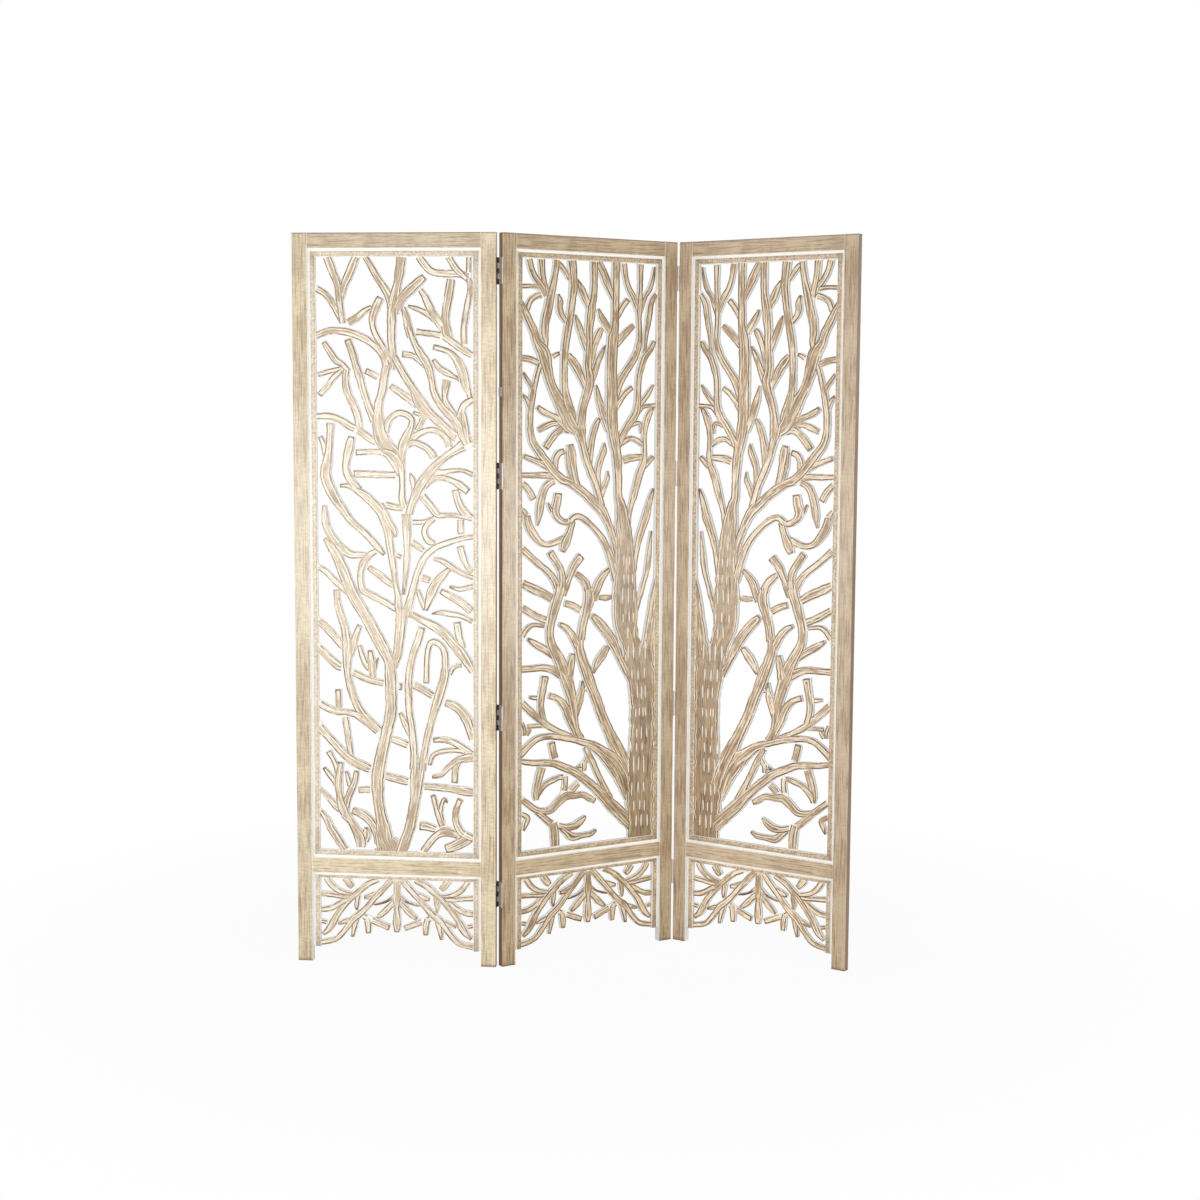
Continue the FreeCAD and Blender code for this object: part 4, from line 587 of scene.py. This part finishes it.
def carve(board, branch, crossed, buried, beads):
    """One branch of a carved board. Grooves part it from wider branches over it, and from the bead."""
    drop = thin_drop * (1 - min(max(point.y for point in branch.path) / full_height_half_width, 1))
    drop += branch.tone * tone_drop
    whole = branch.lengths[-1]
    rings = []

    def unevenness(along, row):
        return noise.noise(Vector((branch.tone * noise_rows + along / wobble_length, row, 0)))

    def from_bead(point):
        left, right, low, high = beads
        return min(point.x - left, right - point.x, point.z - low, high - point.z)

    free = [
        not inside and from_bead(point) > groove_reach
        for inside, point in zip(buried, (branch.path[0], branch.path[-1]))
    ]

    def add(point, run, along, width_share, height_share, wash, groove):
        sink = 0.0
        from_end = whole
        for is_free, reach in zip(free, (along, whole - along)):
            if is_free:
                from_end = min(from_end, reach + tip_share * 2 * point.y)
            else:
                sink = max(sink, end_sink * (1 - reach / (2 * point.y)))
        height = (board_half_depth - drop) * height_share * (1 - sink) * (1 - groove_depth * groove)
        half_width = point.y * width_share
        place = section_place(on_board(point), run, half_width, height)
        rings.append(Ring(place, along, half_width, wash, from_end))

    def tip(point, run, along, outward, order):
        for reach, width_share, height_share, wash in order:
            step = tip_share * 2 * point.y * reach * outward
            add(point + run * step, run, along + step, width_share, height_share, wash, 0.0)

    if free[0]:
        tip(branch.path[0], branch.runs[0], 0.0, -1, reversed(tip_rings))
    for i, point in enumerate(branch.path):
        along = branch.lengths[i]
        by_bead = from_bead(point) < bead_groove_reach and branch.half_width < widest_grooved
        groove = 1.0 if crossed[i] else bead_groove if by_bead else 0.0
        width_share = 1 + unevenness(along, 0) * wobble_share
        height_share = min(1 + unevenness(along, lift_row) * lift_share, 1)
        add(point, branch.runs[i], along, width_share, height_share, groove, groove)
    if free[1]:
        tip(branch.path[-1], branch.runs[-1], whole, 1, tip_rings)
    join(board, on_branch(rings, crown(branch.half_width, (branch.tone - 0.5) * ridge_shift), branch.tone))


def join(board, strip):
    """Adds a finished strip to its board."""
    mesh = sheet_of("strip", strip)
    board.from_mesh(mesh)
    bpy.data.meshes.remove(mesh)


def bead_bar(board, start, end, width, start_skew, end_skew, tone):
    """One mitred bar of the flat bead round a carved board."""
    run = (end - start).normalized()
    count = max(2, round((end - start).length / bead_step))
    rings = []
    for i in range(count + 1):
        share = i / count
        skew = start_skew * (1 - share) + end_skew * share
        place = section_place(start.lerp(end, share), run, width / 2, board_half_depth, skew)
        rings.append(Ring(place, share * (end - start).length, width / 2, 0.0, width))
    join(board, on_branch(rings, bead_crown, tone))


def bead(board, shape):
    """The bead: two upright bars, and bars across the top and foot where they have a height."""
    left = board_left + bead_width / 2
    right = board_right - bead_width / 2
    low = shape.foot + shape.foot_bead / 2
    high = shape.top - shape.top_bead / 2
    low_left, low_right, high_left, high_right = [
        Vector((x, board_middle, z)) for z in (low, high) for x in (left, right)]
    bars = (
        (low_left, high_left, bead_width, shape.foot_bead / 2, -shape.top_bead / 2),
        (low_right, high_right, bead_width, -shape.foot_bead / 2, shape.top_bead / 2),
        (high_left, high_right, shape.top_bead, bead_width / 2, -bead_width / 2),
        (low_left, low_right, shape.foot_bead, -bead_width / 2, bead_width / 2),
    )
    for i, (start, end, width, start_skew, end_skew) in enumerate(bars):
        if width:
            bead_bar(board, start, end, width, start_skew, end_skew, (i + 1) / (len(bars) + 1))


def gouges(board, rows, foot, height, mirrored):
    """Short upright gouge cuts in rows up a trunk, rubbed pale."""
    for low, high, left, right, count in rows:
        for i in range(count):
            share = left + (right - left) * (i + chance.uniform(*gouge_place_shares)) / count
            share = 1 / thousandth - share if mirrored else share
            x = field_left + share * thousandth * field_width
            z = foot + (low + high) / 2 * thousandth * height + chance.uniform(-gouge_shift, gouge_shift)
            half = (high - low) / 2 * thousandth * height * chance.uniform(*gouge_length_shares)
            run = Vector((chance.uniform(-gouge_lean, gouge_lean), 0, 1)).normalized()
            rings = []
            for along, width_share in gouge_rings:
                centre = Vector((x, board_middle, z)) + run * half * along
                half_width = gouge_half_width * width_share
                place = section_place(centre, run, half_width, gouge_half_height)
                rings.append(Ring(place, half * along, half_width, 1.0, half_width))
            join(board, on_branch(rings, gouge_crown, gouge_tone))


def carved_piece(name, panel, shape, branches, rows=(), mirrored=False):
    """A whole carved board as one piece that stands in for the plain one."""
    board = bmesh.new()
    low = shape.foot + shape.foot_bead
    high = shape.top - shape.top_bead
    laid = []
    for points in branches:
        points = mirrored_points(points) if mirrored else points
        laid.append(laid_out(points, low, high - low, chance.random()))
    beads = (field_left, field_left + field_width, low if shape.foot_bead else -panel_height, high)
    for branch, crossed, buried in zip(laid, *neighbours(laid)):
        carve(board, branch, crossed, buried, beads)
    gouges(board, rows, low, high - low, mirrored)
    bead(board, shape)
    x, y, turn = stances[panel]
    stand = Matrix.Translation((x, y, 0)) @ Matrix.Rotation(math.radians(turn), 4, "Z")
    bmesh.ops.transform(board, matrix=stand, verts=board.verts)
    mesh = sheet_of(name, board)
    for polygon in mesh.polygons:
        polygon.use_smooth = True
    return shown(name, mesh)


class Value:
    """A number or colour that varies over a surface. Arithmetic on it adds Math nodes."""

    def __init__(self, finish, socket):
        self.finish = finish
        self.socket = socket

    def maths(self, operation, *numbers):
        return self.finish.node("ShaderNodeMath", {"operation": operation}, dict(enumerate(numbers)))

    def __add__(self, other):
        return self.maths("ADD", self, other)

    def __sub__(self, other):
        return self.maths("SUBTRACT", self, other)

    def __rsub__(self, other):
        return self.maths("SUBTRACT", other, self)

    def __mul__(self, other):
        return self.maths("MULTIPLY", self, other)

    def __truediv__(self, other):
        return self.maths("DIVIDE", self, other)

    def __abs__(self):
        return self.maths("ABSOLUTE", self)

    def least(self, other):
        return self.maths("MINIMUM", self, other)

    def most(self, other):
        return self.maths("MAXIMUM", self, other)

    def over(self, none, full):
        """0 up to none and 1 from full on, with a smooth rise between, whichever of the two is the less."""
        feeds = {"Value": self, "From Min": min(none, full), "From Max": max(none, full)}
        if none > full:
            feeds.update({"To Min": 1.0, "To Max": 0.0})
        return self.finish.node("ShaderNodeMapRange", {"interpolation_type": "SMOOTHSTEP"}, feeds)

    __radd__ = __add__
    __rmul__ = __mul__


class Finish:
    """A material being made up."""

    def __init__(self, name):
        self.material = bpy.data.materials.new(name)
        self.material.use_nodes = True
        self.nodes = self.material.node_tree.nodes
        self.links = self.material.node_tree.links
        self.shader = self.nodes["Principled BSDF"]

    def node(self, kind, settings=None, feeds=None, result=0):
        made = self.nodes.new(kind)
        for name, value in (settings or {}).items():
            setattr(made, name, value)
        for name, value in (feeds or {}).items():
            self.feed(made.inputs[name], value)
        return Value(self, made.outputs[result])

    def feed(self, socket, value):
        if isinstance(value, Value):
            self.links.new(value.socket, socket)
        else:
            socket.default_value = value

    def attribute(self, name):
        return self.node("ShaderNodeAttribute", {"attribute_name": name}, result="Fac")

    def noise(self, x, y, z, detail, roughness=0.5, distortion=0.0):
        place = self.node("ShaderNodeCombineXYZ", None, {"X": x, "Y": y, "Z": z})
        return self.node("ShaderNodeTexNoise", None, {
            "Vector": place, "Scale": 1.0, "Detail": detail, "Roughness": roughness,
            "Distortion": distortion})

    def mix(self, share, first, second):
        return self.node("ShaderNodeMix", {"data_type": "RGBA"}, {0: share, 6: first, 7: second}, 2)

    def in_panel(self, panel):
        """x, y and z in the panel's own millimetres."""
        x, y, turn = stances[panel]
        back = Matrix.Rotation(math.radians(-turn), 3, "Z")
        rest = self.node("ShaderNodeTexCoord", result="Object")
        place = self.node("ShaderNodeMapping", {"vector_type": "POINT"}, {
            "Vector": rest, "Location": -(back @ Vector((x, y, 0))) / millimetre,
            "Rotation": (0, 0, math.radians(-turn)), "Scale": (1 / millimetre,) * 3})
        split = self.node("ShaderNodeSeparateXYZ", None, {0: place}).socket.node
        return [Value(self, output) for output in split.outputs]

    def finished(self, colour, roughness, height, depth, metallic=0.0):
        """Colour, roughness and metal as given, with a bump of that height over that depth in metres."""
        bump = self.node("ShaderNodeBump", None, {"Height": height, "Distance": depth, "Strength": 1.0})
        for name, value in (
                ("Base Color", colour), ("Roughness", roughness), ("Metallic", metallic), ("Normal", bump)):
            self.feed(self.shader.inputs[name], value)
        return self.material


def paint(red, green, blue):
    """A colour written as it looks on a screen."""
    levels = [level / 255 for level in (red, green, blue)]
    linear = [((level + 0.055) / 1.055) ** 2.4 if level > 0.04045 else level / 12.92 for level in levels]
    return (*linear, 1.0)


def shaded(colour, share):
    """A lighter or darker copy of a colour."""
    return tuple(level * share for level in colour[:3]) + (1.0,)


# Colours that pieces share, and how deep the bumps of each surface are, in metres
glare_colour = paint(250, 245, 230)
frame_whitewash = paint(250, 249, 244)
carving_whitewash = paint(250, 247, 240)
grime = paint(124, 98, 78)
rust_brown = paint(112, 82, 60)
frame_bump, carving_bump, dowel_bump, steel_bump, pad_bump = 0.0007, 0.0009, 0.0003, 0.0002, 0.0002

# Heights between which a pale band of painted glare lies on a panel, and where the carving is darker, in
# millimetres
glare_rise, glare_fall = (650, 1000), (1600, 1250)
darker_above, darker_below = (1350, 1700), (480, 330)


def painted_glare(finish, z, colour, share):
    """A painted glare: a paler band at mid height that stands in for the lamps' glare on a panel."""
    return finish.mix(z.over(*glare_rise) * z.over(*glare_fall) * share, colour, glare_colour)


def frame_wood(name, panel, part, ripples, bleach, tones):
    """Stained frame timber: grain along the piece, whitewash by the carving, darker outer sides, and a
    painted glare at mid height.
    """
    light, middle, dark, side = tones
    finish = Finish(name)
    x, y, z = finish.in_panel(panel)
    along_rail = part.endswith("rail")
    if not along_rail:
        inside = abs(x - panel_width / 2) - (panel_width / 2 - stile_width)
    elif part == "top_rail":
        inside = z - top_rail_foot
    else:
        inside = (z - middle_rail_foot).least(middle_rail_top - z)

    def along_piece(run, depth, width, *settings):
        """Noise drawn out along the piece. The lengths are those of one streak, in millimetres."""
        x_length, z_length = (run, width) if along_rail else (width, run)
        return finish.noise(x / x_length, y / depth, z / z_length, *settings)

    grain = along_piece(90, 3, 3, 5.0, 0.6, 0.3)
    fine = along_piece(20, 1.2, 1.1, 2.0)
    ripple = finish.noise(x / 18, y / 8, z / 5, 1.0)
    patches = finish.noise(x / 60, y / 40, z / 100, 3.0)
    colour = finish.mix((grain * 0.7 + patches * 0.5).over(0.53, 0.67), middle, light)
    streaks = (grain * 0.8 + patches * 0.3 + fine * 0.3).over(0.70, 0.50)
    colour = finish.mix(streaks * 0.8, colour, dark)
    colour = finish.mix(ripple.over(0.56, 0.42) * ripples, colour, dark)
    # Painted glare: a paler band at mid height where the lamps' glare falls
    colour = painted_glare(finish, z, colour, bleach)

    # Darker outer sides, and grime on the sawn ends
    outer = (y + fine * 1.5).over(1.8, 2.6) * inside.over(stile_width - 1, stile_width - 0.2)
    colour = finish.mix(outer * 0.85, colour, side)
    crest = (z + fine * 2).over(panel_height - 3, panel_height - 1)
    foot = (z + grain * 12).over(15, 8)
    colour = finish.mix((crest * 0.6).most(foot * 0.7), colour, grime)

    # Whitewash on the lips by the carving and in the joints
    by_carving = (y + fine).over(0.9, 1.5).most((inside + fine * 2).over(2.2, 1.4))
    rubbed = by_carving * inside.over(3, 2)
    if along_rail:
        joint = (x - stile_width).least(panel_width - stile_width - x)
        rubbed = rubbed.most((joint + grain * 3).over(3.2, 2.0) * 0.3)
    colour = finish.mix(rubbed, colour, frame_whitewash)
    height = grain * 0.5 + fine * 0.2 + ripple * (0.2 + ripples)
    return finish.finished(colour, 0.22 + 0.12 * grain, height, frame_bump)


# In the carving, in millimetres from a branch's edge: the whitewashed edge, the brown line of painted shade
# inside it and the band of painted highlight beyond that, with how wide that band is. From a half width of
# narrow on a branch has fewer pale streaks, and from broad on the fewest
washed_edge = (3.2, 2.0)
painted_edge_shade_span = (5.7, 4.5)
painted_highlight_middle = 6.9
painted_highlight_width = (2.2, 1.0)
narrow, broad = 18, 32
bead_edge = (-0.8, 0.8)


def carved_wood(name, panel, low, high, fading, bleach, tones):
    """Carved timber: streaked faces, painted shade as brown lines inside the edges with a painted highlight
    beside them, painted glare at mid height, whitewash on the cut sides.
    """
    light, middle, dark, outline = tones
    finish = Finish(name)
    x, y, z = finish.in_panel(panel)
    along, across, edge, wash, tone, groove = [
        finish.attribute(each) for each in ("along", "across", "edge", "wash", "tone", "groove")]
    grain = finish.noise(along / 70, across / 2.8, tone * 40, 5.0, 0.62, 0.2)
    fine = finish.noise(along / 14, across / 1.2, tone * 40 + 3, 2.0)
    cuts = finish.noise(along / 9, across / 6, tone * 40 + 7, 2.0)
    patches = finish.noise(x / 34, y / 20, z / 46 + tone * 0.6, 3.0)
    inside = edge + cuts * 1.8

    # Pale and stained streaks along the face
    slim = (edge + abs(across)).over(broad, narrow)
    pale = (grain * 0.9 + patches * 0.3).over(0.56, 0.70) * (0.3 + 0.7 * slim)
    colour = finish.mix(pale, middle, light)
    # Darker towards the carving's top and foot
    darker_ends = z.over(*darker_above).most(z.over(*darker_below)) * fading
    stained = (patches + darker_ends).over(0.49, 0.61) * grain.over(0.66, 0.46)
    colour = finish.mix(stained * 0.75, colour, finish.mix(0.45, middle, dark))
    streaks = (fine * 0.5 + grain * 0.5 - patches * 0.2).over(0.38, 0.30)
    colour = finish.mix(streaks * 0.75, colour, dark)
    # Painted highlight: a pale band just inside the painted shade line
    painted_highlight = abs(inside - painted_highlight_middle).over(*painted_highlight_width) * (grain + patches).over(0.8, 1.05)
    colour = finish.mix(painted_highlight * 0.9, colour, light)

    # The brown line of painted shade inside the edges, and the plain bead round the open field
    to_side = field_width / 2 - abs(x - panel_width / 2)
    open_field = to_side.least(high - z).least(z - low).over(*bead_edge)
    painted_edge_shade = inside.over(*painted_edge_shade_span) * (fine * 0.4 + patches * 0.4 + cuts * 0.3).over(0.45, 0.62) * open_field
    # Painted glare at mid height over the carving
    colour = painted_glare(finish, z, finish.mix(painted_edge_shade * 0.95, colour, outline), bleach)
    hatch = finish.noise(x / 4, y / 8, z / 4, 2.0).over(0.35, 0.65)
    bead_colour = finish.mix(hatch, finish.mix(0.25, middle, dark), finish.mix(0.55, middle, light))
    colour = finish.mix((1 - open_field) * 0.75, colour, bead_colour)

    washed = (wash * edge.over(*washed_edge)).most(groove)
    rubbed = (washed * 1.1 + fine * 0.5 + patches * 0.4 - 0.5).over(0.36, 0.62)
    colour = finish.mix(rubbed, colour, carving_whitewash)
    height = grain * 0.45 + fine * 0.25 + cuts * 0.3
    return finish.finished(colour, 0.30 + 0.3 * rubbed, height, carving_bump)


def plain_wood(name, panel):
    """Unstained timber of the hidden dowels."""
    finish = Finish(name)
    x, y, z = finish.in_panel(panel)
    grain = finish.noise(x / 20, y / 1.2, z / 1.2, 3.0)
    colour = finish.mix(grain.over(0.35, 0.65), paint(196, 164, 122), paint(222, 196, 156))
    return finish.finished(colour, 0.55 + 0.15 * grain, grain, dowel_bump)


def worn_steel(name, panel, pale, tarnish):
    """Hinge steel, pale, or dark where that dark is painted shade of the closed joint and partly tarnish,
    with brown tarnish in patches.
    """
    finish = Finish(name)
    x, y, z = finish.in_panel(panel)
    spots = finish.noise(x / 5, y / 5, z / 7, 4.0, 0.6)
    brushed = finish.noise(x / 0.6, y / 0.6, z / 9, 2.0)
    rust = (spots + tarnish - 0.5).over(0.30, 0.55)
    # The dark colours are painted shade of the closed joint, partly tarnish
    bright = paint(236, 232, 230) if pale else paint(96, 74, 54)
    worn = paint(212, 206, 202) if pale else paint(62, 44, 32)
    colour = finish.mix(brushed.over(0.3, 0.7), worn, bright)
    colour = finish.mix(rust, colour, rust_brown)
    metallic = (0.35 if pale else 0.5) * (1 - rust)
    return finish.finished(colour, 0.35 + 0.3 * rust, spots * 0.6 + brushed * 0.4, steel_bump, metallic)


def pad_plastic(name, panel):
    """Mottled pale grey plastic."""
    finish = Finish(name)
    x, y, z = finish.in_panel(panel)
    mottle = finish.noise(x / 2, y / 2, z / 2, 3.0)
    colour = finish.mix(mottle.over(0.3, 0.7), paint(196, 192, 204), paint(214, 211, 220))
    return finish.finished(colour, 0.5 + 0.15 * mottle, mottle, pad_bump)


def use(piece, material):
    piece.data.materials.clear()
    piece.data.materials.append(material)


# How a panel is carved and finished. Tones run from light to dark, the last is for the frame's outer sides or
# for the painted shade lines inside the branches' edges; a part's shade and the apron's lift lighten or
# darken them
Panel = collections.namedtuple(
    "Panel", "branches rows mirrored ripples bleach fading apron_lift frame_tones carving_tones")
panels = {
    "left_panel": Panel(
        left_tree_shares, (), False, ripples=0.20, bleach=0.12, fading=0.34, apron_lift=1.0,
        frame_tones=(paint(236, 221, 188), paint(213, 193, 162), paint(166, 136, 108), paint(138, 105, 76)),
        carving_tones=(paint(246, 239, 220), paint(205, 184, 156), paint(144, 112, 84), paint(108, 76, 54))),
    "middle_panel": Panel(
        middle_tree_shares, trunk_gouge_rows, False, ripples=0.13, bleach=0.0, fading=0.12, apron_lift=1.04,
        frame_tones=(paint(210, 188, 154), paint(182, 157, 123), paint(134, 105, 78), paint(146, 108, 70)),
        carving_tones=(paint(238, 218, 184), paint(162, 136, 102), paint(102, 73, 49), paint(84, 56, 38))),
    "right_panel": Panel(
        middle_tree_shares, trunk_gouge_rows, True, ripples=0.12, bleach=0.0, fading=0.12, apron_lift=1.12,
        frame_tones=(paint(218, 196, 166), paint(193, 168, 138), paint(144, 114, 90), paint(140, 114, 92)),
        carving_tones=(paint(250, 232, 203), paint(176, 148, 114), paint(108, 78, 54), paint(90, 60, 42))),
}
part_shades = {
    "left_panel_left_stile": 0.86, "left_panel_top_rail": 0.78, "left_panel_right_stile": 0.96,
    "left_panel_middle_rail": 0.94, "middle_panel_left_stile": 0.93, "middle_panel_top_rail": 0.92,
    "middle_panel_right_stile": 0.90, "right_panel_top_rail": 0.92, "right_panel_right_stile": 0.91,
}
apron_branches = [apron_stem_shares]
for half in apron_half_shares:
    apron_branches += [half, mirrored_points(half)]

chance = random.Random(7)
for panel, made in panels.items():
    tree = carved_piece(
        panel + "_carved_tree", panel, tree_board, made.branches, made.rows, made.mirrored)
    apron = carved_piece(panel + "_carved_apron", panel, apron_board, apron_branches)
    apron_tones = [shaded(tone, made.apron_lift) for tone in made.carving_tones]
    use(tree, carved_wood(
        panel + " tree carving", panel, tree_board.foot + tree_board.foot_bead,
        tree_board.top - tree_board.top_bead, made.fading, made.bleach, made.carving_tones))
    use(apron, carved_wood(
        panel + " apron carving", panel, 0, apron_board.top - apron_board.top_bead, 0.0, 0.0, apron_tones))
    for piece, node in ((tree, "_tree_board"), (apron, "_apron_board")):
        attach(piece, panel)
        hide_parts(panel + node)
    for part in ("left_stile", "right_stile", "top_rail", "middle_rail"):
        node = panel + "_" + part
        tones = [shaded(tone, part_shades.get(node, 1.0)) for tone in made.frame_tones]
        use(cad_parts[node], frame_wood(node + " wood", panel, part, made.ripples, made.bleach, tones))
    use(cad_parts[panel + "_rail_dowels"], plain_wood(panel + " dowels", panel))

# The left joint's hinges are dark but for their middle leaves: that dark is painted shade of the closed
# joint, partly tarnish.
# Its two lower ones are the most tarnished
heavy_tarnish, light_tarnish = 0.2, -0.05
for name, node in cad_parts.items():
    if "hinge" in name:
        panel = "middle_panel" if "middle" in name else name.split("_")[0] + "_panel"
        by_left = name.startswith("left_hinge")
        dark = by_left and any(word in name for word in ("side", "pin"))
        tarnished = by_left and any(word in name for word in ("lower", "bottom"))
        tarnish = heavy_tarnish if tarnished else light_tarnish
        use(node, worn_steel(name + " steel", panel, not dark, tarnish))
use(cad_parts["middle_panel_edge_pad"], pad_plastic("grey pad", "middle_panel"))


# Plain pale floor, white behind, and soft lamps. The floor shows white from white_from to white_to metres out
floor_size = 30
floor_grey = 0.9
floor_glow = 0.94
white_from, white_to = 0.6, 2.2
sky_light = 0.36
lamps = {
    "top lamp": ((0.0, -4.6, 3.6), (0, 0, 0.8), (3.0, 2.0), 32),
    "front lamp": ((-1.45, -4.9, 0.8), (-0.4, 0, 1.05), (0.9, 0.8), 58),
    "right lamp": ((3.3, -2.0, 0.8), (0, 0, 1.0), (1.0, 0.8), 42),
    "left lamp": ((-3.3, -1.65, 0.76), (0.3, 0, 1.0), (0.8, 0.8), 36),
}

# Camera: a little right of the middle and tilted down, as in the photograph. Place in metres, turns in
# degrees, lens and sensor in millimetres
camera_place = (0.18668, -4.84288, 1.41204)
camera_yaw = 1.4628
camera_pitch = 5.815
camera_roll = 0.3464
camera_lens = 57.35
camera_sensor = 36.0


def floor():
    sheet = bmesh.new()
    bmesh.ops.create_grid(sheet, x_segments=1, y_segments=1, size=floor_size)
    piece = shown("floor", sheet_of("floor", sheet))
    finish = Finish("pale floor")
    finish.feed(finish.shader.inputs["Base Color"], (floor_grey, floor_grey, floor_grey, 1.0))
    finish.feed(finish.shader.inputs["Roughness"], 0.9)
    finish.feed(finish.shader.inputs["Specular IOR Level"], 0.0)
    place = finish.node("ShaderNodeTexCoord", result="Object")
    far = finish.node("ShaderNodeVectorMath", {"operation": "LENGTH"}, {0: place}, "Value")
    glow = floor_glow + (1 - floor_glow) * far.over(white_from, white_to)
    seen = finish.node("ShaderNodeLightPath", result="Is Camera Ray") * glow
    white = finish.node("ShaderNodeEmission", None, {"Color": (1, 1, 1, 1), "Strength": 1.0})
    plain = Value(finish, finish.shader.outputs[0])
    both = finish.node("ShaderNodeMixShader", None, {0: seen, 1: plain, 2: white})
    finish.feed(finish.nodes["Material Output"].inputs["Surface"], both)
    piece.data.materials.append(finish.material)


def sky():
    """White where the camera and reflections see it, and dimmer as a light."""
    world = bpy.data.worlds.new("studio")
    bpy.context.scene.world = world
    world.use_nodes = True
    nodes = world.node_tree.nodes
    links = world.node_tree.links
    nodes.clear()
    path = nodes.new("ShaderNodeLightPath")
    seen = nodes.new("ShaderNodeMath")
    seen.operation = "MAXIMUM"
    links.new(path.outputs["Is Camera Ray"], seen.inputs[0])
    links.new(path.outputs["Is Glossy Ray"], seen.inputs[1])
    both = nodes.new("ShaderNodeMixShader")
    links.new(seen.outputs[0], both.inputs["Fac"])
    for i, strength in ((1, sky_light), (2, 1.0)):
        background = nodes.new("ShaderNodeBackground")
        background.inputs["Color"].default_value = (1, 1, 1, 1)
        background.inputs["Strength"].default_value = strength
        links.new(background.outputs[0], both.inputs[i])
    out = nodes.new("ShaderNodeOutputWorld")
    links.new(both.outputs[0], out.inputs["Surface"])


def lamp(name, place, aim, size, power):
    """A soft lamp of that width and height, in metres, and power in watts."""
    light = bpy.data.lights.new(name, "AREA")
    light.shape = "RECTANGLE"
    light.size, light.size_y = size
    light.energy = power
    piece = shown(name, light)
    piece.location = place
    piece.rotation_euler = (Vector(aim) - Vector(place)).to_track_quat("-Z", "Y").to_euler()


floor()
sky()
for name, values in lamps.items():
    lamp(name, *values)

camera = shown("camera", bpy.data.cameras.new("camera"))
camera.data.lens = camera_lens
camera.data.sensor_width = camera_sensor
camera_stand = Matrix.Translation(camera_place)
for turn, axis in ((camera_yaw, "Z"), (90 - camera_pitch, "X"), (camera_roll, "Z")):
    camera_stand = camera_stand @ Matrix.Rotation(math.radians(turn), 4, axis)
camera.matrix_world = camera_stand
bpy.context.scene.camera = camera
bpy.context.scene.view_settings.view_transform = "Standard"

bpy.context.view_layer.update()
